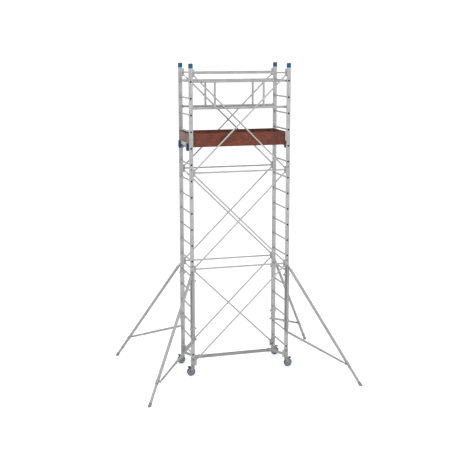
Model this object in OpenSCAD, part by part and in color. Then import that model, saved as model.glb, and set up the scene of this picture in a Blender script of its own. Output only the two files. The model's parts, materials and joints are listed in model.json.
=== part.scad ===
/* [Tower] */
// Distance between post centres along the long side, mm
tower_length = 1746; // [1400:1:2400]
// Distance between stile centres across the short side, mm
tower_width = 720; // [640:1:1000]
// Spacing of the rungs, mm
rung_pitch = 280; // [250:1:340]
// Height of the lowest rung above the floor, mm
lowest_rung = 384; // [370:1:460]

/* [Ladder frames] */
// Width of a stile, seen from the front, mm
stile_w = 72; // [60:1:90]
// Depth of a stile, mm
stile_d = 25; // [24:0.5:32]
// Wall of the stile tube, mm
stile_wall = 2; // [1.5:0.1:2.5]
// Outer diameter of a rung, mm
rung_d = 30; // [25:0.5:36]
// Wall of a rung, mm
rung_wall = 1.5; // [1:0.1:2.5]

/* [Braces] */
// Outer diameter of a brace tube, mm
brace_d = 28; // [24:0.5:29]
// Wall of a brace tube, mm
brace_wall = 1.5; // [1:0.1:2.5]
// Diameter of the pins that hold the braces, mm
brace_pin_d = 10; // [8:0.5:12]

/* [Guard rails] */
// Outer diameter of the guard rail tubes, mm
rail_d = 40; // [32:0.5:42]
// Height of the top rail above the knee rail, mm
rail_gap = 448; // [400:1:520]

/* [Platform] */
// Width of the deck across the tower, without the toe boards, mm
deck_width = 616; // [560:1:618]
// How far the middle of the platform stands to the left of the tower's middle, mm
platform_shift = 36; // [20:1:40]
// Thickness of the deck board, mm
deck_board = 12; // [9:0.5:18]
// Height of the toe boards above the deck, mm
toe_height = 150; // [100:1:155]
// Thickness of a toe board, mm
toe_board = 20; // [15:0.5:24]
// Length of the trapdoor, mm
hatch_length = 600; // [500:1:640]
// Width of the trapdoor, mm
hatch_width = 420; // [360:1:430]

/* [Base and castors] */
// Diameter of a castor wheel, mm
wheel_d = 150; // [125:1:152]
// Width of a castor wheel, mm
wheel_w = 40; // [30:1:45]
// Distance from the swivel axis to the wheel axle, mm
castor_trail = 35; // [25:1:40]
// Diameter of the spine tube of the base, mm
spine_d = 60; // [50:1:64]
// Height of the spine above the floor, mm
spine_height = 216; // [214:1:240]

/* [Stabilisers] */
// Diameter of the swinging mast, mm
mast_d = 34; // [30:0.5:36]
// Diameter of the outer leg tube, mm
leg_d = 50; // [44:0.5:52]
// Length of the outer leg tube, mm
leg_tube = 2080; // [2060:1:2200]
// Diameter of the outer strut tube, mm
strut_d = 40; // [32:0.5:41]
// Distance along the leg from the strut's pin to the foot, mm
strut_to_foot = 450; // [420:1:520]
// How far the foot of the front left leg stands from its mast, mm
reach_front_left = 1643; // [1100:1:1750]
// How far the foot of the front right leg stands from its mast, mm
reach_front_right = 1588; // [1100:1:1750]
// How far the foot of the rear left leg stands from its mast, mm
reach_rear_left = 1323; // [1100:1:1750]
// How far the foot of the rear right leg stands from its mast, mm
reach_rear_right = 1172; // [1100:1:1750]
// Swing of the front left leg away from straight forward, degrees
swing_front_left = 40.5; // [20:0.5:70]
// Swing of the front right leg away from straight forward, degrees
swing_front_right = 33.6; // [20:0.1:70]
// Swing of the rear left leg away from straight back, degrees
swing_rear_left = 55.2; // [20:0.1:70]
// Swing of the rear right leg away from straight back, degrees
swing_rear_right = 52.9; // [20:0.1:70]

/* [Hidden] */
$fn = 48;
eps = 0.01;
// clearances: loose for parts that only stand near each other, running for pins in bores
loose = 0.3;
running = 0.05;
// a rung is pressed into its stiles with this much room all round
rung_fit = 0.1;

corners = ["front_left", "front_right", "rear_left", "rear_right"];
side_x = [-1, 1, -1, 1];
side_y = [-1, -1, 1, 1];
tiers = ["low", "mid", "top"];
ends = ["left", "right"];
rungs_per_frame = 6;
rung_count = rungs_per_frame * len(tiers);

post_x = tower_length / 2;
post_y = tower_width / 2;
function rung_z(level) = lowest_rung + level * rung_pitch;

// each frame starts a little below its first rung, which is where the frames join
joint_drop = 0.15 * rung_pitch;
function joint_z(tier) = rung_z(tier * rungs_per_frame) - joint_drop;
frame_height = rungs_per_frame * rung_pitch;
// the braces are pinned to the stiles just under each joint
node_drop = 0.35 * rung_pitch;
function node_z(tier) = joint_z(tier) - node_drop;
node_step = 0.15 * rung_pitch;

stile_inner_w = stile_w - 2 * stile_wall;
stile_inner_d = stile_d - 2 * stile_wall;
stile_in_x = post_x - stile_w / 2;
stile_out_y = post_y + stile_d / 2;

// spigots and their pins
spigot_w = stile_inner_w - 2 * loose;
spigot_d = stile_inner_d - 2 * loose;
spigot_up = joint_drop + 50;
spigot_down = 110;
spigot_wall = 3;
spigot_slot = rung_d + 2;
clip_d = 8;
clip_hole = clip_d + 0.6;
clip_drop = 34;
clip_ring = 13;
clip_wire = 2;
clip_out = 10;

// post caps
cap_side = 4;
cap_gap = 0.3;
cap_top_above = 65;
cap_skirt = 14;

// brace plates and blades
plate_t = 6;
pin_inset = 22;
plate_reach = pin_inset + 13;
plate_margin = 24;
plate_foot_t = 3;
plate_foot_w = 22;
pin_x = stile_in_x - pin_inset;
pin_hole = brace_pin_d + 0.6;
blade_t = 4;
blade_w = 26;
blade_length = 46;
blade_y = plate_t / 2 + loose + blade_t / 2;
diagonal_y = brace_d / 2 + 1;
pin_head = 4;
pin_end = diagonal_y + blade_t;

// guard rails
rail_wall = 2;
rail_y = post_y - 55;
rail_top_z = rung_z(rung_count - 1);
rail_knee_z = rail_top_z - rail_gap;
rail_end_gap = 1;
rail_end_x = stile_in_x - rail_end_gap;
upright_x = tower_length / 4;
upright_d = 38;
claw_t = 8;
claw_ear = 14;

// platform
deck_rung_z = rung_z(13);
deck_rise = 101;
deck_top = deck_rung_z + deck_rise;
deck_x = post_x + 1;
deck_left = -platform_shift - deck_x;
deck_right = deck_x - platform_shift;
beam_w = 30;
beam_h = 60;
beam_wall = 2.5;
beam_top = deck_top - deck_board;
beam_y = deck_width / 2 - beam_w / 2;
cross_w = 25;
cross_h = 30;
cross_wall = 2;
hook_w = 70;
hook_wall = 12;
hook_plate = 26;
hook_y = deck_width / 2 - hook_w / 2;
hook_top = deck_rung_z + 83;
hook_bottom = deck_rung_z - 42;
toe_bottom = deck_rung_z + rung_d / 2 + 1;
toe_y = deck_width / 2 + toe_board;
clip_leg = 40;
clip_t = 3;
clip_margin = 20;
hatch_x = 410;
cross_places = [-500, 0, hatch_x - hatch_length / 2 - 36, hatch_x + hatch_length / 2 + 36];
hatch_gap = 3;
hatch_hinge_y = hatch_width / 2;
hinge_r = 5;
hinge_pin_r = 3;
hinge_z = deck_top + hinge_r + 0.5;
hinge_leaf = 2;
hinge_spread = 190;
hinge_length = 60;
knuckle = 18;
knuckle_gap = 0.5;
handle_d = 8;
handle_span = 110;
handle_reach = 60;
handle_pin_r = 3;
handle_y = -hatch_width / 2 + 70;
handle_z = deck_top + handle_d / 2 + loose;

// base
upright_bottom = 178;
base_plug_h = 60;
spine_wall = 3;
spine_x = post_x - 192;
collar_x0 = spine_x - 40;
collar_x1 = spine_x + 62;
collar_wall = 6;
fork_tube = 46;

// castors
wheel_r = wheel_d / 2;
hub_r = wheel_r - 15;
axle_r = 6;
fork_plate = 4;
fork_gap = 4;
fork_in = wheel_w / 2 + fork_gap;
crown_z = wheel_d + 5;
crown_t = 6;
stem_r = 8;
pedal_x = 56;
pedal_z = crown_z + crown_t / 2;
pedal_w = 44;
pedal_pin_r = 2.5;
ear_y = pedal_w / 2 + 3;

// stabiliser channel, mast and leg
channel_t = 3;
channel_z0 = rung_z(0) + 328;
channel_z1 = node_z(1) - node_step - plate_margin - 11;
channel_y = stile_out_y + loose;
clamp_low_z = rung_z(0) + 1.7 * rung_pitch;
clamp_high_z = rung_z(0) + 4.75 * rung_pitch;
clamp_h = 50;
clamp_t = 6;
lug_wall = 8;
mast_y = stile_out_y + loose + channel_t + mast_d / 2 + lug_wall + 1.2;
mast_wall = 3;
mast_z0 = channel_z0 - 52;
mast_z1 = channel_z1 + 12;
lug_h = 25;
lug_low_z = channel_z0 + 10;
lug_high_z = channel_z1 - 40;
pivot_z = channel_z1 + 22;
pivot_out = 25;
root_out = 30;
root_side = 50;
root_z = channel_z0 - 28;
eye_t = 10;
cheek_t = 6;
cheek_gap = 0.5;
leg_pin_r = 6;
leg_wall = 2;
foot_tube_d = leg_d - 2 * leg_wall - 2 * loose;
foot_tube = 1000;
collar_len = 60;
collar_d = leg_d + 10;
boot_d = leg_d + 2;
boot_len = 70;
boot_base = 30;
strut_wall = 2;
strut_tube = 780;
strut_rod = 900;
strut_rod_d = strut_d - 2 * strut_wall - 2 * loose;
strut_pin_r = 5.5;
strut_eye_hole = 14;
strut_eye_r = 20;

reaches = [reach_front_left, reach_front_right, reach_rear_left, reach_rear_right];
swings = [swing_front_left, swing_front_right, swing_rear_left, swing_rear_right];
// direction of each leg over the floor, anticlockwise from +X
function heading(i) = side_y[i] * 90 - side_x[i] * side_y[i] * swings[i];
// the strut lies on the side of the leg that is turned away from the tower
function strut_side(i) = side_x[i] * side_y[i];
// slope of the leg from upright, and its length from the upper pin to the floor
function leg_slope(i) = atan((reaches[i] - pivot_out) / pivot_z);
function leg_length(i) = sqrt(pow(reaches[i] - pivot_out, 2) + pow(pivot_z, 2));
function strut_at(i) = leg_length(i) - strut_to_foot;
function strut_run(i) = pivot_out + strut_at(i) * sin(leg_slope(i)) - root_out;
function strut_rise(i) = pivot_z - strut_at(i) * cos(leg_slope(i)) - root_z;
function strut_length(i) = sqrt(pow(strut_run(i), 2) + pow(strut_rise(i), 2));
function strut_slope(i) = atan2(strut_rise(i), strut_run(i));

// the origin is on the floor, in the middle of the rectangle that the four feet span
function foot_x(i) = side_x[i] * post_x + reaches[i] * cos(heading(i));
function foot_y(i) = side_y[i] * mast_y + reaches[i] * sin(heading(i));
feet_x = [for (i = [0:3]) foot_x(i)];
feet_y = [for (i = [0:3]) foot_y(i)];
middle_x = (min(feet_x) + max(feet_x)) / 2;
middle_y = (min(feet_y) + max(feet_y)) / 2;

function named(stem) = [for (c = corners) str(stem, "_", c)];
frame_names = [for (e = ends) for (t = tiers) str("ladder_frame_", e, "_", t)];

aluminium = "#b8b8ba";
steel = "#8f9294";
dark = "#3a3d40";
blue = "#1d5f9a";
board = "#8a4634";

module at_tower() {
    translate([-middle_x, -middle_y, 0]) children();
}

module tube_x(x0, x1, d, wall) {
    translate([x0, 0, 0]) rotate([0, 90, 0]) difference() {
        cylinder(d = d, h = x1 - x0);
        translate([0, 0, -1]) cylinder(d = d - 2 * wall, h = x1 - x0 + 2);
    }
}

module tube_z(z0, z1, d, wall) {
    translate([0, 0, z0]) difference() {
        cylinder(d = d, h = z1 - z0);
        translate([0, 0, -1]) cylinder(d = d - 2 * wall, h = z1 - z0 + 2);
    }
}

module rod_y(y0, y1, d) {
    translate([0, y0, 0]) rotate([-90, 0, 0]) cylinder(d = d, h = y1 - y0);
}

module block(x, y, z) {
    translate([x[0], y[0], z[0]]) cube([x[1] - x[0], y[1] - y[0], z[1] - z[0]]);
}

module box_tube_z(w, d, wall, z0, z1) {
    difference() {
        block([-w / 2, w / 2], [-d / 2, d / 2], [z0, z1]);
        block([-w / 2 + wall, w / 2 - wall], [-d / 2 + wall, d / 2 - wall], [z0 - 1, z1 + 1]);
    }
}

// ---------- base ----------

module base_spine() {
    color(aluminium) at_tower() translate([0, 0, spine_height])
        tube_x(-spine_x, spine_x, spine_d, spine_wall);
}

module base_upright() {
    z1 = joint_z(0);
    difference() {
        union() {
            box_tube_z(stile_w, stile_d, stile_wall, upright_bottom, z1);
            block([-stile_inner_w / 2 - eps, stile_inner_w / 2 + eps],
                [-stile_inner_d / 2 - eps, stile_inner_d / 2 + eps],
                [upright_bottom, upright_bottom + base_plug_h]);
        }
        translate([0, 0, upright_bottom - 1]) cylinder(r = stem_r + running, h = base_plug_h + 2);
        translate([0, 0, z1 - clip_drop]) rod_y(-stile_d, stile_d, clip_hole);
    }
}

// one end of the base: a collar on the spine, two slanting legs and two uprights
module base_fork(sx) {
    leg_end_y = post_y - stile_d / 2 + 1;
    leg_start = collar_x1 - 24;
    color(aluminium) at_tower() rotate([0, 0, sx > 0 ? 0 : 180]) difference() {
        union() {
            translate([0, 0, spine_height]) {
                translate([collar_x0, 0, 0]) rotate([0, 90, 0])
                    cylinder(d = spine_d + 2 * collar_wall, h = collar_x1 - collar_x0);
                for (s = [-1, 1])
                    let (run_x = post_x - leg_start, run_y = leg_end_y)
                    translate([leg_start, 0, 0]) rotate([0, 0, atan2(s * run_y, run_x)])
                    rotate([0, 90, 0]) cylinder(d = fork_tube, h = sqrt(run_x * run_x + run_y * run_y));
            }
            for (s = [-1, 1]) translate([post_x, s * post_y, 0]) base_upright();
        }
        translate([collar_x0 - 1, 0, spine_height]) rotate([0, 90, 0])
            cylinder(d = spine_d + 2 * loose, h = spine_x - collar_x0 + 1 + loose);
        for (s = [-1, 1]) translate([post_x, s * post_y, upright_bottom - 1])
            cylinder(r = stem_r + running, h = base_plug_h + 2);
    }
}

// ---------- castors: drawn at the swivel axis, with the wheel trailing along +X ----------

module at_castor(i) {
    at_tower() translate([side_x[i] * post_x, side_y[i] * post_y, 0])
        rotate([0, 0, side_x[i] > 0 ? 0 : 180]) children();
}

module castor_fork(i) {
    color(steel) at_castor(i) {
        difference() {
            union() {
                block([-26, 44], [-fork_in - fork_plate, fork_in + fork_plate], [crown_z, crown_z + crown_t]);
                translate([0, 0, crown_z + crown_t - eps])
                    cylinder(r = 24, h = upright_bottom - crown_z - crown_t - loose);
                translate([0, 0, crown_z]) cylinder(r = stem_r, h = upright_bottom + base_plug_h - crown_z - 1);
                for (s = [-1, 1]) {
                    fork_cheek(s);
                    block([40, pedal_x + 8], [s * ear_y - 2, s * ear_y + 2], [crown_z, crown_z + crown_t]);
                }
            }
            translate([castor_trail, 0, wheel_r]) rod_y(-40, 40, 2 * (axle_r + running));
        }
        translate([pedal_x, 0, pedal_z]) rod_y(-ear_y - 2, ear_y + 2, 2 * pedal_pin_r);
        translate([castor_trail, 0, wheel_r]) {
            rod_y(-fork_in - fork_plate - 2, fork_in + fork_plate + 2, 2 * axle_r);
            for (s = [-1, 1])
                translate([0, s * (fork_in + fork_plate + 4.3), 0]) rod_y(-4, 4, 20);
        }
    }
}

module fork_cheek(s) {
    y0 = s > 0 ? fork_in : -fork_in - fork_plate;
    translate([0, y0 + fork_plate, 0]) rotate([90, 0, 0]) linear_extrude(fork_plate) union() {
        polygon([[-24, crown_z + crown_t], [-24, crown_z - 14], [castor_trail - 16, wheel_r - 4],
            [castor_trail + 16, wheel_r - 4], [42, crown_z - 10], [42, crown_z + crown_t]]);
        translate([castor_trail, wheel_r]) circle(r = 16.5);
    }
}

// tyre and hub, turning on the axle
module castor_wheel(i) {
    color(steel) at_castor(i) translate([castor_trail, 0, wheel_r]) rotate([-90, 0, 0]) {
        rotate_extrude() {
            translate([axle_r + running, -wheel_w / 2]) square([13, wheel_w]);
            translate([axle_r + running, -6]) square([hub_r - axle_r - running, 12]);
            translate([hub_r - 8, -wheel_w / 2 + 4]) square([8, wheel_w - 8]);
        }
        rotate_extrude() {
            translate([hub_r, -wheel_w / 2 + 3]) square([wheel_r - hub_r - 8, wheel_w - 6]);
            translate([wheel_r - 12, 0]) intersection() {
                circle(r = 12);
                translate([4 - eps, -wheel_w / 2]) square([20, wheel_w]);
            }
            translate([hub_r + 5, -12]) square([wheel_r - hub_r - 7, 24]);
        }
    }
}

// brake pedal, pressed down on the tyre by the user's foot
module castor_pedal(i) {
    color(dark) at_castor(i) difference() {
        union() {
            block([pedal_x, pedal_x + 36], [-pedal_w / 2, pedal_w / 2], [crown_z + 1, crown_z + 19]);
            translate([pedal_x, 0, pedal_z]) rod_y(-pedal_w / 2, pedal_w / 2, 10);
        }
        translate([pedal_x, 0, pedal_z]) rod_y(-pedal_w, pedal_w, 2 * (pedal_pin_r + running));
    }
}

// ---------- ladder frames ----------

// one end frame of a tier: two stiles and its rungs, welded where they cross
module ladder_frame(e, tier) {
    x = e == 0 ? -post_x : post_x;
    z0 = joint_z(tier);
    z1 = z0 + frame_height;
    color(aluminium) at_tower() translate([x, 0, 0]) {
        for (s = [-1, 1]) translate([0, s * post_y, 0]) difference() {
            box_tube_z(stile_w, stile_d, stile_wall, z0, z1);
            for (k = [0:rungs_per_frame - 1])
                translate([0, 0, rung_z(tier * rungs_per_frame + k)])
                    rod_y(-stile_d, stile_d, rung_d + 2 * rung_fit);
            translate([0, 0, z1 - clip_drop]) rod_y(-stile_d, stile_d, clip_hole);
        }
        for (k = [0:rungs_per_frame - 1])
            translate([0, -stile_out_y, rung_z(tier * rungs_per_frame + k)]) rotate([-90, 0, 0]) difference() {
                cylinder(d = rung_d, h = 2 * stile_out_y);
                translate([0, 0, -1]) cylinder(d = rung_d - 2 * rung_wall, h = 2 * stile_out_y + 2);
            }
    }
}

// black plugs in the open ends of the rungs
module rung_plugs() {
    d = rung_d - 2 * rung_wall;
    color(dark) at_tower() for (x = [-post_x, post_x], s = [-1, 1], k = [0:rung_count - 1])
        translate([x, s * (stile_out_y - 5), rung_z(k)]) rod_y(-5, 5, d);
}

// joining pieces inside the stiles, slotted at the top to pass the first rung
module frame_spigots() {
    color(steel) at_tower() for (x = [-post_x, post_x], y = [-post_y, post_y], t = [0:len(tiers) - 1])
        translate([x, y, joint_z(t)]) difference() {
            low = t == 0 ? upright_bottom + base_plug_h + loose - joint_z(0) : -spigot_down;
            box_tube_z(spigot_w, spigot_d, spigot_wall, low, spigot_up);
            block([-spigot_slot / 2, spigot_slot / 2], [-spigot_d, spigot_d],
                [joint_drop - spigot_slot / 2, spigot_up + 1]);
            translate([0, 0, -clip_drop]) rod_y(-stile_d, stile_d, clip_hole);
        }
}

// a pin through stile and spigot under each joint, with its ring
module frame_pins() {
    color(dark) at_tower() for (x = [-post_x, post_x], s = [-1, 1], t = [0:len(tiers) - 1])
        translate([x, s * post_y, joint_z(t) - clip_drop]) {
            rod_y(-stile_d / 2 - clip_out, stile_d / 2 + clip_out, clip_d);
            translate([0, s * (stile_d / 2 + 2.3), 0]) rod_y(-2, 2, clip_d + 8);
            translate([0, s * (stile_d / 2 + clip_out - clip_wire - 1), -clip_ring]) rotate([90, 0, 0])
                rotate_extrude() translate([clip_ring, 0]) circle(r = clip_wire, $fn = 16);
        }
}

module rounded_rect(w, d, r) {
    square([w - 2 * r, d], center = true);
    square([w, d - 2 * r], center = true);
    for (a = [-1, 1], b = [-1, 1]) translate([a * (w / 2 - r), b * (d / 2 - r)]) circle(r = r);
}

module post_caps() {
    w = stile_w + 2 * (cap_side + cap_gap);
    d = stile_d + 2 * (cap_side + cap_gap);
    top = joint_z(len(tiers));
    color(blue) at_tower() for (x = [-post_x, post_x], y = [-post_y, post_y])
        translate([x, y, 0]) difference() {
            translate([0, 0, top - cap_skirt]) linear_extrude(cap_skirt + cap_top_above) rounded_rect(w, d, 6);
            translate([0, 0, top - cap_skirt - 1]) linear_extrude(cap_skirt + 1 + loose)
                square([stile_w + 2 * cap_gap, stile_d + 2 * cap_gap], center = true);
        }
}

// ---------- braces ----------

// a brace tube along +X from pin to pin, with a flattened and drilled blade at each end
module diagonal(length) {
    body = blade_length - 14;
    difference() {
        union() {
            translate([body, diagonal_y, 0]) rotate([0, 90, 0]) difference() {
                cylinder(d = brace_d, h = length - 2 * body);
                translate([0, 0, 6]) cylinder(d = brace_d - 2 * brace_wall, h = length - 2 * body - 12);
            }
            for (x = [0, length])
                block([x - 13, x + 13], [blade_y - blade_t / 2, blade_y + blade_t / 2], [-blade_w / 2, blade_w / 2]);
            block([0, body + 6], [blade_y - blade_t / 2, blade_y + blade_t / 2], [-blade_w / 2, blade_w / 2]);
            block([length - body - 6, length], [blade_y - blade_t / 2, blade_y + blade_t / 2],
                [-blade_w / 2, blade_w / 2]);
        }
        for (x = [0, length]) translate([x, 0, 0]) rod_y(-40, 40, pin_hole);
    }
}

diagonal_run = 2 * pin_x;
diagonal_rise = frame_height - 2 * node_step;
diagonal_length = sqrt(diagonal_run * diagonal_run + diagonal_rise * diagonal_rise);
diagonal_slope = atan2(diagonal_rise, diagonal_run);

// side: -1 front, 1 rear; lean: 1 rises to the right, -1 rises to the left
module placed_diagonal(side, tier, lean) {
    translate([-lean * pin_x, side * post_y, node_z(tier) + node_step])
        mirror([lean > 0 ? 0 : 1, 0, 0]) mirror([0, lean * side > 0 ? 0 : 1, 0])
        rotate([0, -diagonal_slope, 0]) diagonal(diagonal_length);
}

module diagonal_braces() {
    color(aluminium) at_tower() {
        for (tier = [0:len(tiers) - 1], side = [-1, 1], lean = [-1, 1])
            if (!(tier == 0 && side == -1 && lean == -1))
                placed_diagonal(side, tier, lean);
    }
}

module horizontal_braces() {
    color(aluminium) at_tower() for (tier = [1:len(tiers)], y = [-post_y, post_y])
        translate([0, y, node_z(tier)]) difference() {
            tube_x(-pin_x - 14, pin_x + 14, brace_d, brace_wall);
            for (s = [-1, 1]) {
                block([s * pin_x - 19, s * pin_x + 19], [-plate_t / 2 - loose, plate_t / 2 + loose],
                    [-brace_d, brace_d]);
                translate([s * pin_x, 0, 0]) rod_y(-brace_d, brace_d, pin_hole);
            }
        }
}

// plates on the inner edge of each stile, and the pins through the brace ends
module brace_plates() {
    half = node_step + plate_margin;
    color(dark) at_tower() for (tier = [0:len(tiers)], a = [-1, 1], b = [-1, 1])
        translate([0, b * post_y, node_z(tier)]) {
            difference() {
                union() {
                    block([min(a * stile_in_x, a * (stile_in_x - plate_reach)),
                        max(a * stile_in_x, a * (stile_in_x - plate_reach))],
                        [-plate_t / 2, plate_t / 2], [-half, half]);
                    block([min(a * stile_in_x, a * (stile_in_x - plate_foot_t)),
                        max(a * stile_in_x, a * (stile_in_x - plate_foot_t))],
                        [-plate_foot_w / 2, plate_foot_w / 2], [-half, half]);
                }
                for (k = [-1, 0, 1]) translate([a * pin_x, 0, k * node_step]) rod_y(-20, 20, pin_hole);
            }
            for (k = [-1, 0, 1])
                if (pin_used(tier, a, b, k))
                    translate([a * pin_x, 0, k * node_step]) {
                        rod_y(-pin_end, pin_end, brace_pin_d);
                        for (s = [-1, 1])
                            translate([0, s * (pin_end + pin_head / 2), 0])
                            rod_y(-pin_head / 2, pin_head / 2, brace_pin_d + 8);
                    }
        }
}

function pin_used(tier, a, b, k) =
    k == 0 ? tier > 0 :
    k == 1 ? tier < len(tiers) && !(tier == 0 && b == -1 && a == 1) :
    tier > 0 && !(tier == 1 && b == -1 && a == -1);

// ---------- guard rails ----------

module guard_frame(side) {
    y_out = post_y - rail_y;
    claw_x = stile_in_x - claw_t - loose;
    color(aluminium) at_tower() translate([0, side * rail_y, 0]) {
        for (z = [rail_top_z, rail_knee_z])
            translate([0, 0, z]) tube_x(-rail_end_x, rail_end_x, rail_d, rail_wall);
        for (a = [-1, 1]) {
            translate([a * upright_x, 0, 0])
                rail_upright(rail_knee_z, rail_top_z);
            translate([0, 0, rail_top_z]) rail_hook(a);
            rail_claw(a, side, y_out);
        }
    }
}

// a tube between the two rails, cut to their round backs
module rail_upright(z0, z1) {
    difference() {
        tube_z(z0, z1, upright_d, rail_wall);
        for (z = [z0, z1])
            translate([-upright_d, 0, z]) rotate([0, 90, 0])
                cylinder(d = rail_d + 2 * loose, h = 2 * upright_d);
    }
}

// the hook that drops over the top rung at one end of the top rail
module rail_hook(a) {
    mirror([a > 0 ? 0 : 1, 0, 0]) translate([0, 12, 0]) rotate([90, 0, 0]) linear_extrude(24) difference() {
        union() {
            translate([post_x, 0]) circle(d = rung_d + 20);
            translate([rail_end_x, -rail_d / 2]) square([post_x - rail_end_x, rail_d]);
        }
        translate([post_x, 0]) circle(d = rung_d + 2 * loose);
        translate([post_x - rung_d / 2 - loose, -60]) square([rung_d + 2 * loose, 60]);
        translate([post_x + rung_d / 2, -60]) square([40, 52]);
    }
}

// the claw at one end of the knee rail, which grips the inner edge of the stile
module rail_claw(a, side, y_out) {
    mirror([a > 0 ? 0 : 1, 0, 0]) mirror([0, side > 0 ? 0 : 1, 0])
        translate([0, 0, rail_knee_z - 24]) {
            block([rail_end_x + loose, stile_in_x - loose], [-rail_d / 2, rail_d / 2], [0, 48]);
            block([stile_in_x - loose - claw_t, stile_in_x - loose],
                [-rail_d / 2, y_out + stile_d / 2 + loose + 5], [0, 48]);
            for (y = [y_out - stile_d / 2 - loose - 5, y_out + stile_d / 2 + loose])
                block([stile_in_x - loose - 1, stile_in_x + claw_ear], [y, y + 5], [0, 48]);
        }
}

// ---------- platform ----------

module platform_frame() {
    z = beam_top - beam_h / 2;
    color(aluminium) at_tower() {
        for (s = [-1, 1]) translate([deck_left, s * beam_y, z]) rotate([0, 90, 0])
            box_tube_z(beam_h, beam_w, beam_wall, beam_w + running, deck_right - deck_left - beam_w - running);
        for (x = [deck_left + beam_w / 2, deck_right - beam_w / 2])
            translate([x, -deck_width / 2, z]) rotate([-90, 0, 0])
            box_tube_z(beam_w, beam_h, beam_wall, 0, deck_width);
        for (x = cross_places)
            translate([x, -deck_width / 2 + beam_w, beam_top - cross_h / 2]) rotate([-90, 0, 0])
            box_tube_z(cross_w, cross_h, cross_wall, running, deck_width - 2 * beam_w - running);
    }
}

// hooks that hang the platform on the rungs: an arch over the rung and a plate on the end beam's outer face
module platform_hooks() {
    color(blue) at_tower() for (s = [-1, 1]) {
        platform_hook(-post_x, deck_left - loose - hook_plate, s);
        platform_hook(post_x, deck_right + loose, s);
    }
}

module platform_hook(rung_x, plate_x, s) {
    arch = rung_d / 2 + loose + hook_wall;
    arch_top = beam_top - beam_h - loose;
    x0 = min(rung_x - arch, plate_x);
    x1 = max(rung_x + arch, plate_x + hook_plate);
    translate([0, s * hook_y + hook_w / 2, 0]) rotate([90, 0, 0]) linear_extrude(hook_w) difference() {
        union() {
            translate([x0, hook_bottom]) square([x1 - x0, arch_top - hook_bottom]);
            translate([plate_x, deck_rung_z]) square([hook_plate, hook_top - deck_rung_z]);
        }
        translate([rung_x, deck_rung_z]) circle(r = rung_d / 2 + loose);
        translate([rung_x - rung_d / 2 - loose, hook_bottom - 1])
            square([rung_d + 2 * loose, deck_rung_z - hook_bottom + 1]);
    }
}

// deck board with the opening of the trapdoor
module deck_board() {
    color(board) at_tower() difference() {
        block([deck_left, deck_right], [-deck_width / 2, deck_width / 2], [beam_top, deck_top]);
        block([hatch_x - hatch_length / 2 - hatch_gap, hatch_x + hatch_length / 2 + hatch_gap],
            [-hatch_width / 2 - hatch_gap, hatch_width / 2 + hatch_gap], [beam_top - 1, deck_top + 1]);
    }
}

// trapdoor with its hinge leaves and middle knuckles
module hatch_panel() {
    color(board) at_tower() difference() {
        union() {
            block([hatch_x - hatch_length / 2, hatch_x + hatch_length / 2],
                [-hatch_width / 2, hatch_width / 2], [deck_top - deck_board, deck_top]);
            for (a = [-1, 1]) translate([hatch_x + a * hinge_spread, 0, 0]) {
                block([-hinge_length / 2, hinge_length / 2],
                    [hatch_hinge_y - 46, hatch_hinge_y - hinge_r - 1], [deck_top - eps, deck_top + hinge_leaf]);
                translate([0, hatch_hinge_y, hinge_z]) hinge_barrel(-knuckle / 2, knuckle / 2);
                block([-knuckle / 2, knuckle / 2], [hatch_hinge_y - hinge_r - 2, hatch_hinge_y],
                    [deck_top - eps, hinge_z]);
            }
            for (s = [-1, 1]) translate([hatch_x + s * (handle_span / 2 + 7), handle_y, 0])
                block([-6, 6], [-7, 7], [deck_top - eps, handle_z + handle_pin_r + 3]);
        }
        for (a = [-1, 1]) translate([hatch_x + a * hinge_spread - 40, hatch_hinge_y, hinge_z])
            rotate([0, 90, 0]) cylinder(r = hinge_pin_r + running, h = 80);
        translate([hatch_x - handle_span, handle_y, handle_z]) rotate([0, 90, 0])
            cylinder(r = handle_pin_r + running, h = 2 * handle_span);
    }
}

module hinge_barrel(x0, x1) {
    translate([x0, 0, 0]) rotate([0, 90, 0]) cylinder(r = hinge_r, h = x1 - x0);
}

// fixed leaves, outer knuckles and pins of the two trapdoor hinges
module hatch_hinges() {
    half = knuckle / 2 + knuckle_gap;
    outer = hinge_length / 2 - half;
    color(steel) at_tower() for (a = [-1, 1]) translate([hatch_x + a * hinge_spread, 0, 0]) {
        difference() {
            union() {
                block([-hinge_length / 2, hinge_length / 2],
                    [hatch_hinge_y + hatch_gap + 1, hatch_hinge_y + 44], [deck_top, deck_top + hinge_leaf]);
                for (x = [-hinge_length / 2, half]) {
                    translate([0, hatch_hinge_y, hinge_z]) hinge_barrel(x, x + outer);
                    block([x, x + outer],
                        [hatch_hinge_y, hatch_hinge_y + hatch_gap + 2], [hinge_z - hinge_r, hinge_z - 1]);
                }
            }
            translate([-hinge_length / 2 - 1, hatch_hinge_y, hinge_z]) rotate([0, 90, 0])
                cylinder(r = hinge_pin_r, h = hinge_length + 2);
        }
        translate([-hinge_length / 2 - 2, hatch_hinge_y, hinge_z]) rotate([0, 90, 0])
            cylinder(r = hinge_pin_r, h = hinge_length + 4);
    }
}

// folding bail and its two seats on the trapdoor
module hatch_handle() {
    color(steel) at_tower() translate([hatch_x, handle_y, handle_z]) {
        for (s = [-1, 1]) {
            translate([s * (handle_span / 2 - handle_d / 2), 0, 0]) rod_y(-handle_reach, 0, handle_d);
            translate([s * (handle_span / 2 - handle_d / 2), -handle_reach, 0]) sphere(d = handle_d);
            translate([s * (handle_span / 2 - handle_d / 2), 0, 0]) sphere(d = handle_d);
        }
        translate([-handle_span / 2 + handle_d / 2, -handle_reach, 0]) rotate([0, 90, 0])
            cylinder(d = handle_d, h = handle_span - handle_d);
        for (s = [-1, 1]) translate([s * (handle_span / 2 + 3) - 10, 0, 0]) rotate([0, 90, 0])
            cylinder(r = handle_pin_r, h = 20);
    }
}

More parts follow.
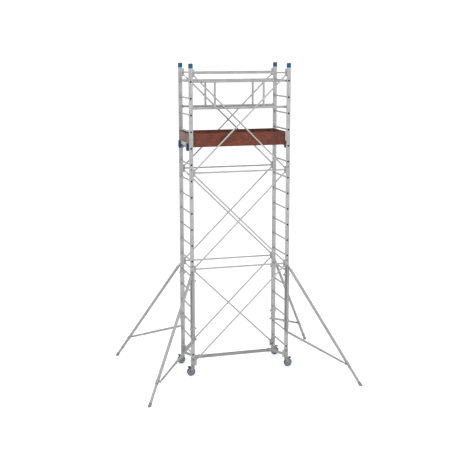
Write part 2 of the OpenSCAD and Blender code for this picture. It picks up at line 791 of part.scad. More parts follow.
// side boards outside the deck and its beams, and end boards standing on the deck
module toe_boards() {
    y = deck_width / 2;
    color(board) at_tower() {
        for (s = [-1, 1])
            block([deck_left, deck_right], [min(s * (y + loose), s * toe_y), max(s * (y + loose), s * toe_y)],
                [toe_bottom, deck_top + toe_height]);
        for (x = [deck_left, deck_right - toe_board])
            block([x, x + toe_board], [-y, y], [deck_top, deck_top + toe_height]);
    }
}

// corner angles that hold the toe boards together
module toe_clips() {
    x = deck_x - toe_board;
    y = deck_width / 2;
    color(steel) at_tower() translate([-platform_shift, 0, deck_top + clip_margin]) for (a = [-1, 1], s = [-1, 1])
        mirror([a > 0 ? 0 : 1, 0, 0]) mirror([0, s > 0 ? 0 : 1, 0]) {
            block([x - clip_leg, x], [y - clip_t, y], [0, toe_height - 2 * clip_margin]);
            block([x - clip_t, x], [y - clip_leg, y], [0, toe_height - 2 * clip_margin]);
        }
}

// ---------- stabilisers ----------

module at_post(i) {
    at_tower() translate([side_x[i] * post_x, 0, 0]) mirror([0, side_y[i] > 0 ? 0 : 1, 0]) children();
}

// channel over the outer face of a stile, with the two eyes that carry the mast
module stabiliser_channels() {
    w = stile_w / 2 + loose;
    color(aluminium) for (i = [0:3]) at_post(i) difference() {
        union() {
            block([-w - channel_t, w + channel_t], [channel_y, channel_y + channel_t], [channel_z0, channel_z1]);
            for (s = [-1, 1])
                block([min(s * w, s * (w + channel_t)), max(s * w, s * (w + channel_t))],
                    [channel_y - 20, channel_y + 1], [channel_z0, channel_z1]);
            for (z = [lug_low_z, lug_high_z]) {
                translate([0, mast_y, z]) cylinder(d = mast_d + 2 * lug_wall, h = lug_h);
                block([-18, 18], [channel_y + 1, mast_y], [z, z + lug_h]);
            }
        }
        for (z = [lug_low_z, lug_high_z])
            translate([0, mast_y, z - 1]) cylinder(r = mast_d / 2 + running, h = lug_h + 2);
    }
}

// clamps that tie each channel to its stile, with their closing bolts
module stabiliser_clamps() {
    w = stile_w / 2 + loose + channel_t + loose;
    y0 = post_y - stile_d / 2 - loose;
    y1 = channel_y + channel_t + loose;
    color(dark) for (i = [0:3]) at_post(i) for (z = [clamp_low_z, clamp_high_z]) translate([0, 0, z - clamp_h / 2]) {
        difference() {
            block([-w - clamp_t, w + clamp_t], [y0 - clamp_t, y1 + 4], [0, clamp_h]);
            block([-w, w], [y0, y1], [-1, clamp_h + 1]);
        }
        translate([-side_x[i] * (w + clamp_t + 12), (y0 + y1) / 2, clamp_h / 2]) rotate([0, 90, 0])
            cylinder(d = 30, h = 24, center = true);
    }
}

// each stabiliser is drawn at its mast, with the leg leaning out along +X
module at_mast(i) {
    at_tower() translate([side_x[i] * post_x, side_y[i] * mast_y, 0]) rotate([0, 0, heading(i)])
        mirror([0, strut_side(i) > 0 ? 0 : 1, 0]) children();
}

module cheeks(y0, r, hole, reach_back) {
    for (s = [-1, 1]) translate([0, y0 + s * (eye_t / 2 + cheek_gap + cheek_t / 2), 0]) rotate([90, 0, 0])
        translate([0, 0, -cheek_t / 2]) linear_extrude(cheek_t) difference() {
            union() {
                circle(r = r);
                translate([-reach_back, -r]) square([reach_back, 2 * r]);
            }
            circle(r = hole);
        }
}

// upright tube that swings in the eyes, with the forks of the leg and of the strut
module stabiliser_mast(i) {
    color(aluminium) at_mast(i) {
        difference() {
            tube_z(mast_z0, mast_z1, mast_d, mast_wall);
            block([-9, 40], [-eye_t / 2 - cheek_gap - cheek_t - 1, eye_t / 2 + cheek_gap + cheek_t + 1],
                [mast_z1 - 8, mast_z1 + 1]);
        }
        translate([0, 0, mast_z1 - 8]) cylinder(d = mast_d - 2 * mast_wall - 0.2, h = 6);
        for (z = [lug_low_z + lug_h + loose, lug_high_z + lug_h + loose])
            translate([0, 0, z]) difference() {
                cylinder(d = mast_d + 10, h = 10);
                translate([0, 0, -1]) cylinder(d = mast_d, h = 12);
            }
        translate([pivot_out, 0, pivot_z]) {
            cheeks(0, 13, leg_pin_r, pivot_out + 8);
            rod_y(-eye_t / 2 - cheek_gap - cheek_t - 3, eye_t / 2 + cheek_gap + cheek_t + 3, 2 * leg_pin_r);
        }
        difference() {
            block([-12, root_out - 13.5], [mast_d / 2 - 3, root_side + 12.5], [root_z - 14, root_z + 14]);
            cylinder(d = mast_d, h = 3000);
        }
        translate([root_out, 0, root_z]) {
            cheeks(root_side, 13, strut_pin_r, 15);
            translate([0, root_side, 0]) rod_y(-eye_t / 2 - cheek_gap - cheek_t - 3,
                eye_t / 2 + cheek_gap + cheek_t + 3, 2 * strut_pin_r);
        }
    }
}

// eye, outer tube and strut collar, drawn along +X from the upper pin
module leg_shape(i) {
    at = strut_at(i);
    difference() {
        union() {
            translate([52, 0, 0]) rotate([0, 90, 0]) difference() {
                cylinder(d = leg_d, h = leg_tube - 52);
                translate([0, 0, 8]) cylinder(d = leg_d - 2 * leg_wall, h = leg_tube);
            }
            rod_y(-eye_t / 2, eye_t / 2, 26);
            block([0, 54], [-eye_t / 2, eye_t / 2], [-13, 13]);
        }
        rod_y(-20, 20, 2 * (leg_pin_r + running));
    }
    translate([at - collar_len / 2, 0, 0]) rotate([0, 90, 0]) difference() {
        cylinder(d = collar_d, h = collar_len);
        translate([0, 0, -1]) cylinder(d = leg_d, h = collar_len + 2);
    }
    translate([at, 0, 0]) {
        difference() {
            rod_y(leg_d / 2 + 2, root_side - eye_t / 2 - cheek_gap, 24);
            translate([-40, 0, 0]) rotate([0, 90, 0]) cylinder(d = collar_d - 1, h = 80);
        }
        rod_y(root_side - eye_t / 2 - cheek_gap, root_side + eye_t / 2 + cheek_gap, 2 * strut_pin_r);
        rod_y(root_side + eye_t / 2 + cheek_gap, root_side + eye_t / 2 + cheek_gap + 6, 2 * strut_eye_r - 4);
    }
}

module along_leg(i) {
    at_mast(i) translate([pivot_out, 0, pivot_z]) rotate([0, 90 - leg_slope(i), 0]) children();
}

module stabiliser_leg(i) {
    color(aluminium) along_leg(i) leg_shape(i);
}

// sliding foot tube and its rubber boot, cut flat on the floor
module stabiliser_foot(i) {
    color(aluminium) {
        along_leg(i) translate([leg_length(i) - foot_tube - boot_base, 0, 0]) rotate([0, 90, 0]) difference() {
            cylinder(d = foot_tube_d, h = foot_tube);
            translate([0, 0, -1]) cylinder(d = foot_tube_d - 2 * leg_wall, h = foot_tube - 20);
        }
        difference() {
            along_leg(i) translate([leg_length(i) - boot_len, 0, 0]) rotate([0, 90, 0])
                difference() {
                    cylinder(d = boot_d, h = boot_len + 60);
                    translate([0, 0, -1]) cylinder(d = foot_tube_d + 2 * loose, h = boot_len - boot_base + 1 + loose);
                }
            at_tower() translate([-6000, -6000, -400]) cube([12000, 12000, 400]);
        }
    }
}

module along_strut(i) {
    at_mast(i) translate([root_out, root_side, root_z]) rotate([0, -strut_slope(i), 0]) children();
}

module strut_tube(i) {
    color(aluminium) along_strut(i) difference() {
        union() {
            translate([30, 0, 0]) rotate([0, 90, 0]) difference() {
                cylinder(d = strut_d, h = strut_tube - 30);
                translate([0, 0, 8]) cylinder(d = strut_d - 2 * strut_wall, h = strut_tube);
            }
            rod_y(-eye_t / 2, eye_t / 2, 26);
            block([0, 32], [-eye_t / 2, eye_t / 2], [-13, 13]);
        }
        rod_y(-20, 20, 2 * (strut_pin_r + running));
    }
}

// inner tube of the strut, whose eye hangs on the collar of the leg
module strut_rod(i) {
    color(aluminium) along_strut(i) translate([strut_length(i), 0, 0]) {
        translate([-strut_rod, 0, 0]) rotate([0, 90, 0]) difference() {
            cylinder(d = strut_rod_d, h = strut_rod - strut_eye_r);
            translate([0, 0, -1]) cylinder(d = strut_rod_d - 2 * strut_wall, h = strut_rod - strut_eye_r - 10);
        }
        difference() {
            union() {
                rod_y(-eye_t / 2, eye_t / 2, 2 * strut_eye_r);
                block([-strut_eye_r - 12, 0], [-eye_t / 2, eye_t / 2], [-11, 11]);
            }
            rod_y(-20, 20, 2 * strut_eye_hole);
        }
    }
}

base_spine();
base_fork(-1);  // base_fork_left
base_fork(1);  // base_fork_right
castor_fork(0);  // castor_fork_front_left
castor_fork(1);  // castor_fork_front_right
castor_fork(2);  // castor_fork_rear_left
castor_fork(3);  // castor_fork_rear_right
castor_wheel(0);  // castor_wheel_front_left
castor_wheel(1);  // castor_wheel_front_right
castor_wheel(2);  // castor_wheel_rear_left
castor_wheel(3);  // castor_wheel_rear_right
castor_pedal(0);  // castor_pedal_front_left
castor_pedal(1);  // castor_pedal_front_right
castor_pedal(2);  // castor_pedal_rear_left
castor_pedal(3);  // castor_pedal_rear_right
ladder_frame(0, 0);  // ladder_frame_left_low
ladder_frame(0, 1);  // ladder_frame_left_mid
ladder_frame(0, 2);  // ladder_frame_left_top
ladder_frame(1, 0);  // ladder_frame_right_low
ladder_frame(1, 1);  // ladder_frame_right_mid
ladder_frame(1, 2);  // ladder_frame_right_top
frame_spigots();
frame_pins();
rung_plugs();
post_caps();
horizontal_braces();
diagonal_braces();
brace_plates();
guard_frame(-1);  // guard_frame_front
guard_frame(1);  // guard_frame_rear
platform_frame();
platform_hooks();
deck_board();
hatch_panel();
hatch_hinges();
hatch_handle();
toe_boards();
toe_clips();
stabiliser_channels();
stabiliser_clamps();
stabiliser_mast(0);  // stabiliser_mast_front_left
stabiliser_mast(1);  // stabiliser_mast_front_right
stabiliser_mast(2);  // stabiliser_mast_rear_left
stabiliser_mast(3);  // stabiliser_mast_rear_right
stabiliser_leg(0);  // stabiliser_leg_front_left
stabiliser_leg(1);  // stabiliser_leg_front_right
stabiliser_leg(2);  // stabiliser_leg_rear_left
stabiliser_leg(3);  // stabiliser_leg_rear_right
stabiliser_foot(0);  // stabiliser_foot_front_left
stabiliser_foot(1);  // stabiliser_foot_front_right
stabiliser_foot(2);  // stabiliser_foot_rear_left
stabiliser_foot(3);  // stabiliser_foot_rear_right
strut_tube(0);  // strut_tube_front_left
strut_tube(1);  // strut_tube_front_right
strut_tube(2);  // strut_tube_rear_left
strut_tube(3);  // strut_tube_rear_right
strut_rod(0);  // strut_rod_front_left
strut_rod(1);  // strut_rod_front_right
strut_rod(2);  // strut_rod_rear_left
strut_rod(3);  // strut_rod_rear_right
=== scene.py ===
"""Finished surfaces of a narrow mobile tower scaffold, built around its CAD frame."""

import json
import math

import bpy
import numpy as np
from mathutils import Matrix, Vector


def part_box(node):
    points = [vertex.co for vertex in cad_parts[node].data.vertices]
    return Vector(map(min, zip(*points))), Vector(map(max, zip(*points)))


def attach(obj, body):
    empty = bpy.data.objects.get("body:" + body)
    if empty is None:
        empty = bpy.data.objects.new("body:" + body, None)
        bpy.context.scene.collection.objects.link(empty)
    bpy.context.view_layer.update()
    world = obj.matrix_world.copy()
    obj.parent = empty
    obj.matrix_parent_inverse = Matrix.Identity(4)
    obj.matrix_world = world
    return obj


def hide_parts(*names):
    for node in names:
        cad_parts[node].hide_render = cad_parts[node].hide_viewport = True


bl_info = {
    "name": "Mobile Tower Scaffold",
    "version": (1, 0, 0),
    "blender": (4, 5, 0),
    "location": "3D View > Sidebar > Tower",
    "description": "Finishes the tubes, boards, castors and stabilisers of a mobile tower",
    "category": "Add Mesh",
}

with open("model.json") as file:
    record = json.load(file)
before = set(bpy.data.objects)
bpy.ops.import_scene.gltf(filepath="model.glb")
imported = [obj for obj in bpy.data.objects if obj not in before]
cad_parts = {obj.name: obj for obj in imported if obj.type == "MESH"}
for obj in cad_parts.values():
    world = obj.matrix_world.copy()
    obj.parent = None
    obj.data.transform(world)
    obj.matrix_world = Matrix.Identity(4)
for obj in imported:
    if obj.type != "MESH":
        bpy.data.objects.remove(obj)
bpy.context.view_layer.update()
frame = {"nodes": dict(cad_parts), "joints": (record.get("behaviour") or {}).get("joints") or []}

TAU = 2 * math.pi
MM = 0.001
CORNERS = ("front_left", "front_right", "rear_left", "rear_right")
SIDE_X = (-1, 1, -1, 1)
SIDE_Y = (-1, -1, 1, 1)
ENDS = ("left", "right")
TIERS = ("low", "mid", "top")
STATIC = "tower"


# ---------- what the frame says ----------


def limits(node):
    """Lowest and highest corner of a CAD node, as arrays."""
    low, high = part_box(node)
    return np.array(low), np.array(high)


def joint(name):
    """Place and axis of a joint, as arrays. A slide has no place, which reads as the origin."""
    row = next(j for j in frame["joints"] if j["name"] == name)
    return np.array(row.get("pos_m", (0, 0, 0)), float), np.array(row["axis"], float)


LEFT_FRAME = limits("ladder_frame_left_low")
RIGHT_FRAME = limits("ladder_frame_right_low")
PLUG_BOX = limits("rung_plugs")
CENTRE = (LEFT_FRAME[0] + RIGHT_FRAME[1])[:2] / 2
STILE_WIDTH = LEFT_FRAME[1][0] - LEFT_FRAME[0][0]
STILE_DEPTH = 25 * MM
STILE_WALL = 2 * MM
STILE_OUT = (LEFT_FRAME[1][1] - LEFT_FRAME[0][1]) / 2
POST_X = (RIGHT_FRAME[1][0] - LEFT_FRAME[0][0] - STILE_WIDTH) / 2
POST_Y = STILE_OUT - STILE_DEPTH / 2
RUNG_RADIUS = 15 * MM
PLUG_RADIUS = 13.5 * MM
RUNGS_PER_FRAME = 6
RUNG_COUNT = RUNGS_PER_FRAME * len(TIERS)
LOWEST_RUNG = PLUG_BOX[0][2] + PLUG_RADIUS
RUNG_PITCH = (PLUG_BOX[1][2] - PLUG_BOX[0][2] - 2 * PLUG_RADIUS) / (RUNG_COUNT - 1)
JOINT_Z = [limits(f"ladder_frame_left_{tier}")[0][2] for tier in TIERS]
JOINT_Z.append(limits("ladder_frame_left_top")[1][2])
NODE_Z = [z - 0.35 * RUNG_PITCH for z in JOINT_Z]
NODE_STEP = 0.15 * RUNG_PITCH
BRACE_RADIUS = 14 * MM
BRACE_PIN_X = POST_X - STILE_WIDTH / 2 - 22 * MM
RAIL_RADIUS = 20 * MM
LEG_RADIUS = 25 * MM
STRUT_RADIUS = 20 * MM
STRUT_TO_FOOT = 450 * MM


def at_tower(x, y, z):
    """A point given from the middle of the tower on the floor."""
    return np.array([CENTRE[0] + x, CENTRE[1] + y, z])


def rung_z(level):
    """Height of a rung, counted up from 0 for the lowest."""
    return LOWEST_RUNG + level * RUNG_PITCH


# ---------- surfaces ----------


def around(count):
    """Angles spread evenly round a circle, the first not repeated."""
    return np.linspace(0, TAU, count, endpoint=False)


def round_outline(radius, count=40):
    """Circle: radius · (cos a, sin a)."""
    a = around(count)
    return radius * np.stack([np.cos(a), np.sin(a)], -1)


def fluted_outline(radius, depth, flutes, count):
    """Circle with flutes: the radius less depth · (1 − cos(flutes · a)) / 2."""
    a = around(count)
    r = radius - depth * (1 - np.cos(flutes * a)) / 2
    return r[:, None] * np.stack([np.cos(a), np.sin(a)], -1)


def box_outline(width, depth, corner, steps=5, cuts=1):
    """Box with round corners: four quarter circles of `steps` points, joined by sides of `cuts` stretches."""
    quarter = np.linspace(0, math.pi / 2, steps)
    arcs = []
    for k, (sx, sy) in enumerate(((1, 1), (-1, 1), (-1, -1), (1, -1))):
        a = quarter + k * math.pi / 2
        middle = np.array([sx * (width / 2 - corner), sy * (depth / 2 - corner)])
        arcs.append(middle + corner * np.stack([np.cos(a), np.sin(a)], -1))
    share = np.linspace(0, 1, cuts + 1)[1:-1, None]
    outline = []
    for k in range(4):
        here, there = arcs[k][-1], arcs[(k + 1) % 4][0]
        outline += [arcs[k], here + share * (there - here)]
    return np.concatenate(outline)


def grooved(outline, places, depth, width):
    """Outline whose two wide faces dip by depth · exp(−((|x| − place) / width)⁴) at each place."""
    x, y = outline[:, 0], outline[:, 1]
    dip = sum(np.exp(-(((np.abs(x) - p) / width) ** 4)) for p in places)
    flat = np.abs(y) > np.abs(y).max() * 0.98
    return np.stack([x, np.where(flat, y - np.sign(y) * depth * dip, y)], -1)


def square_axes(direction, side=None):
    """The unit direction and two unit vectors square to it, the first as near as it can be to `side`."""
    d = np.asarray(direction, float) / np.linalg.norm(direction)
    if side is None:
        side = (0, 0, 1) if abs(d[2]) < 0.9 else (1, 0, 0)
    u = np.asarray(side, float) - d * np.dot(side, d)
    u /= np.linalg.norm(u)
    return d, u, np.cross(d, u)


def carried(outlines, stations, origin, direction, side=None):
    """Outlines set square to a line: point = origin + station · d + x · u + y · v."""
    d, u, v = square_axes(direction, side)
    along = np.asarray(stations, float)[:, None, None] * d
    return np.asarray(origin) + along + outlines[..., :1] * u + outlines[..., 1:] * v


def loft(rings, loop=False):
    """Closed skin over a stack of rings of points, with UVs in metres along and round it.

    Neighbouring rings are joined by quads. Each end gets a flat face or, with loop, the last ring joins the first.
    The faces are turned over if the volume they enclose comes out negative."""
    m, n = rings.shape[:2]
    i, j = np.meshgrid(np.arange(m if loop else m - 1), np.arange(n), indexing="ij")
    i, j = i.ravel(), j.ravel()
    i2, j2 = (i + 1) % m, (j + 1) % n
    quads = np.stack([i * n + j, i2 * n + j, i2 * n + j2, i * n + j2], -1)
    first = np.concatenate([rings[:, 0], rings[:1, 0]])
    along = np.concatenate([[0], np.cumsum(np.linalg.norm(np.diff(first, axis=0), axis=1))])
    widest = rings[np.argmax(np.ptp(rings, axis=1).sum(axis=1))]
    steps = np.linalg.norm(np.roll(widest, -1, axis=0) - widest, axis=1)
    across = np.concatenate([[0], np.cumsum(steps)])
    quad_uv = np.stack([
        np.stack([along[i], across[j]], -1), np.stack([along[i + 1], across[j]], -1),
        np.stack([along[i + 1], across[j + 1]], -1), np.stack([along[i], across[j + 1]], -1),
    ], 1)
    points = rings.reshape(-1, 3)
    ends = [] if loop else [np.arange(n), np.arange(m * n - 1, m * n - n - 1, -1)]
    end_uv = [points[e][:, :2] for e in ends]
    centred = points - points.mean(axis=0)
    a, b, c, d = (centred[quads[:, k]] for k in range(4))
    volume = (a * np.cross(b, c)).sum() + (a * np.cross(c, d)).sum()
    for e in ends:
        p = centred[e]
        volume += (p[0] * np.cross(p[1:-1], p[2:])).sum()
    if volume < 0:
        quads, quad_uv = quads[:, ::-1], quad_uv[:, ::-1]
        ends, end_uv = [e[::-1] for e in ends], [e[::-1] for e in end_uv]
    return points, quads, quad_uv, ends, end_uv


def turned(profile, origin, axis, count=48, loop=False):
    """Turned shape: each (radius, height) of the profile becomes a circle square to the axis."""
    profile = np.asarray(profile, float)
    circle = round_outline(1, count)
    return loft(carried(profile[:, :1, None] * circle, profile[:, 1], origin, axis), loop)


def shrunk(outline, edge):
    """Outline drawn in by `edge` on every side."""
    return outline * (1 - edge / np.abs(outline).max(axis=0))


def bar(outline, start, end, side=None, edge=0.8 * MM):
    """Solid bar with its end edges broken: the outline drawn in by `edge` at both ends."""
    start, end = np.asarray(start, float), np.asarray(end, float)
    length = np.linalg.norm(end - start)
    small = shrunk(outline, edge)
    stations = (0, edge, length - edge, length)
    return loft(carried(np.stack([small, outline, outline, small]), stations, start, end - start, side))


def pipe(outer, inner, start, end, side=None, edge=0.5 * MM):
    """Hollow bar: up the outer outline, over a rounded rim, and down the inner one."""
    start, end = np.asarray(start, float), np.asarray(end, float)
    length = np.linalg.norm(end - start)
    small, wide = shrunk(outer, edge), shrunk(inner, -edge)
    outlines = np.stack([small, outer, outer, small, wide, inner, inner, wide])
    stations = (0, edge, length - edge, length, length, length - edge, edge, 0)
    return loft(carried(outlines, stations, start, end - start, side), loop=True)


def ring(centre, axis, radius, thickness, ripples=0, ripple=0.0, count=64, sides=10):
    """Bead round an axis: a circle of radius thickness · (1 + ripple · cos(ripples · a)) on a larger circle."""
    d, u, v = square_axes(axis)
    a, b = around(count)[:, None, None], around(sides)[None, :, None]
    r = thickness * (1 + ripple * np.cos(ripples * a))
    out = radius + r * np.cos(b)
    return loft(np.asarray(centre) + out * (np.cos(a) * u + np.sin(a) * v) + r * np.sin(b) * d, loop=True)


def weld(centre, axis, radius, bead=2.4 * MM):
    """Weld bead: a ring whose thickness ripples about every 3 mm."""
    ripples = max(8, round(TAU * radius / (3.2 * MM)))
    return ring(centre, axis, radius, bead, ripples, 0.22, 4 * ripples, 8)


def hex_bolt(centre, axis, across=13 * MM, height=7 * MM):
    """Washer and six-sided head: a turned disc, and a six-sided bar whose top edge is broken."""
    d = np.asarray(axis, float) / np.linalg.norm(axis)
    washer = turned([(across * 0.82, 0), (across * 0.86, 0.4 * MM), (across * 0.82, 1.6 * MM)], centre, d, 32)
    six = round_outline(across / math.sqrt(3), 6)
    outlines = np.stack([six, six, six * 0.9])
    head = carried(outlines, (1.2 * MM, height - 1.2 * MM, height), np.asarray(centre), d)
    return [washer, loft(head)]


def smooth(x):
    """Smooth step from 0 to 1: x² · (3 − 2x), held outside 0 to 1."""
    x = np.clip(x, 0, 1)
    return x * x * (3 - 2 * x)


def pressed_tube(start, end, thick_axis, radius, blade, offsets=(0, 0), pressed=(True, True), count=32):
    """Tube whose ends are pressed into flat blades with round noses.

    With w the smooth step from tube to blade, half width = mix(radius, blade width / 2, w), half thickness =
    mix(radius, blade thickness / 2, w), and the section is a superellipse whose power goes from 2 to 5. Past the
    pin the half width follows a half circle. `offsets` are the middle of the tube and of the blade along
    thick_axis; `blade` is its width, thickness, length and the length of the change."""
    start, end = np.asarray(start, float), np.asarray(end, float)
    length = np.linalg.norm(end - start)
    width, thick, flat, change = blade
    nose = width / 2 * np.sin(np.linspace(-math.pi / 2, 0, 7)[:-1]) * 0.995
    near = np.concatenate([nose, [0, flat], flat + change * np.linspace(0, 1, 9)[1:]])
    first = near if pressed[0] else np.array([0, 0.6 * MM])
    last = length - near[::-1] if pressed[1] else np.array([length - 0.6 * MM, length])
    x = np.concatenate([first, last])
    w = np.zeros_like(x)
    half = np.full_like(x, radius)
    for used, distance in ((pressed[0], x), (pressed[1], length - x)):
        if used:
            w = np.maximum(w, 1 - smooth((distance - flat) / change))
            past = np.clip(-distance / (width / 2), 0, 1)
            half = np.minimum(half, np.where(distance < 0, width / 2 * np.sqrt(1 - past**2), radius))
    for used, spot in ((pressed[0], 0), (pressed[1], -1)):
        if not used:
            half[spot] = radius - 0.6 * MM
    across = np.where(half < min(radius, width / 2) - 1e-6, half, radius + (width / 2 - radius) * w)
    thin = radius + (thick / 2 - radius) * w
    thin = np.where((w == 0) & (half < radius), half, thin)
    power = (2 / (2 + 3 * w))[:, None]
    a = around(count)[None]
    c, s = np.cos(a), np.sin(a)
    u = across[:, None] * np.sign(c) * np.abs(c) ** power
    v = thin[:, None] * np.sign(s) * np.abs(s) ** power + (offsets[0] + (offsets[1] - offsets[0]) * w)[:, None]
    d = (end - start) / length
    thick_axis = np.asarray(thick_axis, float)
    wide_axis = np.cross(thick_axis, d)
    rings = start + x[:, None, None] * d + u[..., None] * wide_axis + v[..., None] * thick_axis
    return loft(rings)


def make_piece(name, skins, material, body, stands_for=(), sharp=38):
    """One mesh object from several closed skins, riding on a body, with its finish; the CAD nodes it stands for are
    hidden.
    """
    points, faces, uvs, offset = [], [], [], 0
    for skin_points, quads, quad_uv, ends, end_uv in skins:
        points.append(skin_points)
        faces += (quads + offset).tolist() + [(e + offset).tolist() for e in ends]
        uvs += [quad_uv.reshape(-1, 2)] + list(end_uv)
        offset += len(skin_points)
    mesh = bpy.data.meshes.new(name)
    mesh.from_pydata(np.concatenate(points), [], faces)
    layer = mesh.uv_layers.new(name="along_and_round")
    layer.data.foreach_set("uv", np.concatenate(uvs).astype(np.float32).ravel())
    mesh.polygons.foreach_set("use_smooth", np.ones(len(faces), bool))
    mesh.set_sharp_from_angle(angle=math.radians(sharp))
    mesh.materials.append(FINISHES[material])
    made = bpy.data.objects.new(name, mesh)
    bpy.context.scene.collection.objects.link(made)
    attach(made, body)
    if stands_for:
        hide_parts(*stands_for)
    return made


def dress(node, material):
    """Gives a CAD node one of the finishes."""
    made = frame["nodes"][node]
    if made.material_slots:
        made.material_slots[0].material = FINISHES[material]
    else:
        made.data.materials.append(FINISHES[material])


# ---------- finishes ----------

FINISHES = {}
NUMBER, VECTOR, COLOUR = "NodeSocketFloat", "NodeSocketVector", "NodeSocketColor"
FINE_TEXTURE = 900.0


def add(tree, kind, **values):
    """A new shader node; values set its named inputs."""
    node = tree.nodes.new(kind)
    for name, value in values.items():
        node.inputs[name.replace("_", " ")].default_value = value
    return node


def maths(tree, operation, first, second):
    """A Math node; each side is a socket or a number."""
    node = tree.nodes.new("ShaderNodeMath")
    node.operation = operation
    for socket, value in zip(node.inputs, (first, second)):
        if isinstance(value, (int, float)):
            socket.default_value = value
        else:
            tree.links.new(value, socket)
    return node.outputs[0]


def mixed(tree, factor, first, second):
    """A colour Mix node; each side is a socket or a colour."""
    node = tree.nodes.new("ShaderNodeMix")
    node.data_type = "RGBA"
    sockets = (node.inputs[0], node.inputs[6], node.inputs[7])
    for socket, value in zip(sockets, (factor, first, second)):
        if isinstance(value, bpy.types.NodeSocket):
            tree.links.new(value, socket)
        elif isinstance(value, (int, float)):
            socket.default_value = value
        else:
            socket.default_value = (*value, 1)
    return node.outputs[2]


def new_group(name, inputs, outputs):
    """An empty shader group with its sockets: inputs are (name, kind, default)."""
    group = bpy.data.node_groups.new(name, "ShaderNodeTree")
    for socket, kind, default in inputs:
        made = group.interface.new_socket(name=socket, in_out="INPUT", socket_type=kind)
        if default is not None:
            made.default_value = default
    for socket, kind in outputs:
        group.interface.new_socket(name=socket, in_out="OUTPUT", socket_type=kind)
    return group, group.nodes.new("NodeGroupInput"), group.nodes.new("NodeGroupOutput")


def noise(tree, vector, scale, detail=3, roughness=0.55):
    """A Noise Texture's value; scale is a socket or a number."""
    node = add(tree, "ShaderNodeTexNoise", Detail=detail, Roughness=roughness)
    tree.links.new(vector, node.inputs["Vector"])
    if isinstance(scale, (int, float)):
        node.inputs["Scale"].default_value = scale
    else:
        tree.links.new(scale, node.inputs["Scale"])
    return node.outputs["Fac"]


def between(tree, value, low, high):
    """A value's share of the way from low to high, held to 0 to 1 and smoothed."""
    node = add(tree, "ShaderNodeMapRange")
    node.interpolation_type = "SMOOTHSTEP"
    node.inputs["From Min"].default_value = low
    node.inputs["From Max"].default_value = high
    tree.links.new(value, node.inputs["Value"])
    return node.outputs["Result"]


def stretched(group, start, density):
    """A group's coordinates times one of its vectors, which draws a noise out along an axis."""
    node = group.nodes.new("ShaderNodeVectorMath")
    node.operation = "MULTIPLY"
    group.links.new(start.outputs["Vector"], node.inputs[0])
    group.links.new(start.outputs[density], node.inputs[1])
    return node.outputs[0]


def drawn_metal_group():
    """Lines left by the die, soft cloudy patches, and a few scuffs."""
    group, start, end = new_group(
        "Drawn metal",
        [("Vector", VECTOR, None), ("Line Density", VECTOR, (1, 1, 1)), ("Cloud Size", NUMBER, 6.0),
         ("Scuffs", NUMBER, 0.5)],
        [("Lines", NUMBER), ("Clouds", NUMBER), ("Scuff Mask", NUMBER)],
    )
    stretch = stretched(group, start, "Line Density")
    lines = noise(group, stretch, 1.0, 2)
    clouds = noise(group, start.outputs["Vector"], start.outputs["Cloud Size"], 4, 0.6)
    specks = between(group, noise(group, start.outputs["Vector"], 95.0, 5, 0.7), 0.60, 0.72)
    patches = between(group, noise(group, start.outputs["Vector"], 9.0, 2), 0.50, 0.62)
    marks = maths(group, "MULTIPLY", specks, patches)
    scuffs = maths(group, "MULTIPLY", marks, start.outputs["Scuffs"])
    group.links.new(lines, end.inputs["Lines"])
    group.links.new(between(group, clouds, 0.35, 0.65), end.inputs["Clouds"])
    group.links.new(scuffs, end.inputs["Scuff Mask"])
    return group


def moulded_group():
    """Fine orange-peel texture and faint dust of a moulded part."""
    group, start, end = new_group(
        "Moulded surface",
        [("Vector", VECTOR, None), ("Texture Size", NUMBER, FINE_TEXTURE)],
        [("Height", NUMBER), ("Dust", NUMBER)],
    )
    group.links.new(noise(group, start.outputs["Vector"], start.outputs["Texture Size"], 2), end.inputs["Height"])
    dust = between(group, noise(group, start.outputs["Vector"], 22.0, 6, 0.7), 0.48, 0.68)
    group.links.new(dust, end.inputs["Dust"])
    return group


def film_board_group():
    """Film-faced board: large warm and dark blotches, finer grain, and a bright fleck here and there."""
    group, start, end = new_group(
        "Film-faced board",
        [("Vector", VECTOR, None), ("Warm", COLOUR, (0.3, 0.06, 0.03, 1)), ("Dark", COLOUR, (0.05, 0.02, 0.01, 1)),
         ("Bright", COLOUR, (0.4, 0.1, 0.05, 1)), ("Grain", VECTOR, (1, 1, 1))],
        [("Color", COLOUR), ("Height", NUMBER), ("Blotches", NUMBER)],
    )
    stretch = stretched(group, start, "Grain")
    blotches = between(group, noise(group, start.outputs["Vector"], 4.5, 3, 0.6), 0.40, 0.62)
    flecks = between(group, noise(group, start.outputs["Vector"], 11.0, 5, 0.7), 0.50, 0.72)
    grain = noise(group, stretch, 1.0, 4, 0.6)
    base = mixed(group, blotches, start.outputs["Dark"], start.outputs["Warm"])
    bright = mixed(group, maths(group, "MULTIPLY", flecks, 0.75), base, start.outputs["Bright"])
    lines = maths(group, "MULTIPLY", between(group, grain, 0.42, 0.66), 0.35)
    group.links.new(mixed(group, lines, bright, start.outputs["Dark"]), end.inputs["Color"])
    group.links.new(grain, end.inputs["Height"])
    group.links.new(blotches, end.inputs["Blotches"])
    return group


def blank(name):
    """A material with its Principled shader, and the coordinates that its patterns read."""
    material = bpy.data.materials.new(name)
    material.use_nodes = True
    tree = material.node_tree
    return material, tree, tree.nodes["Principled BSDF"], tree.nodes.new("ShaderNodeTexCoord")


def placed_group(tree, name, vector, **values):
    """A group node reading the given coordinates, with its own values."""
    node = tree.nodes.new("ShaderNodeGroup")
    node.node_tree = bpy.data.node_groups[name]
    tree.links.new(vector, node.inputs["Vector"])
    for key, value in values.items():
        node.inputs[key.replace("_", " ")].default_value = value
    return node


def roughen(tree, shader, mask, amount, least):
    """Roughness = mask · amount + least."""
    rough = maths(tree, "MULTIPLY_ADD", mask, amount)
    rough.node.inputs[2].default_value = least
    tree.links.new(rough, shader.inputs["Roughness"])


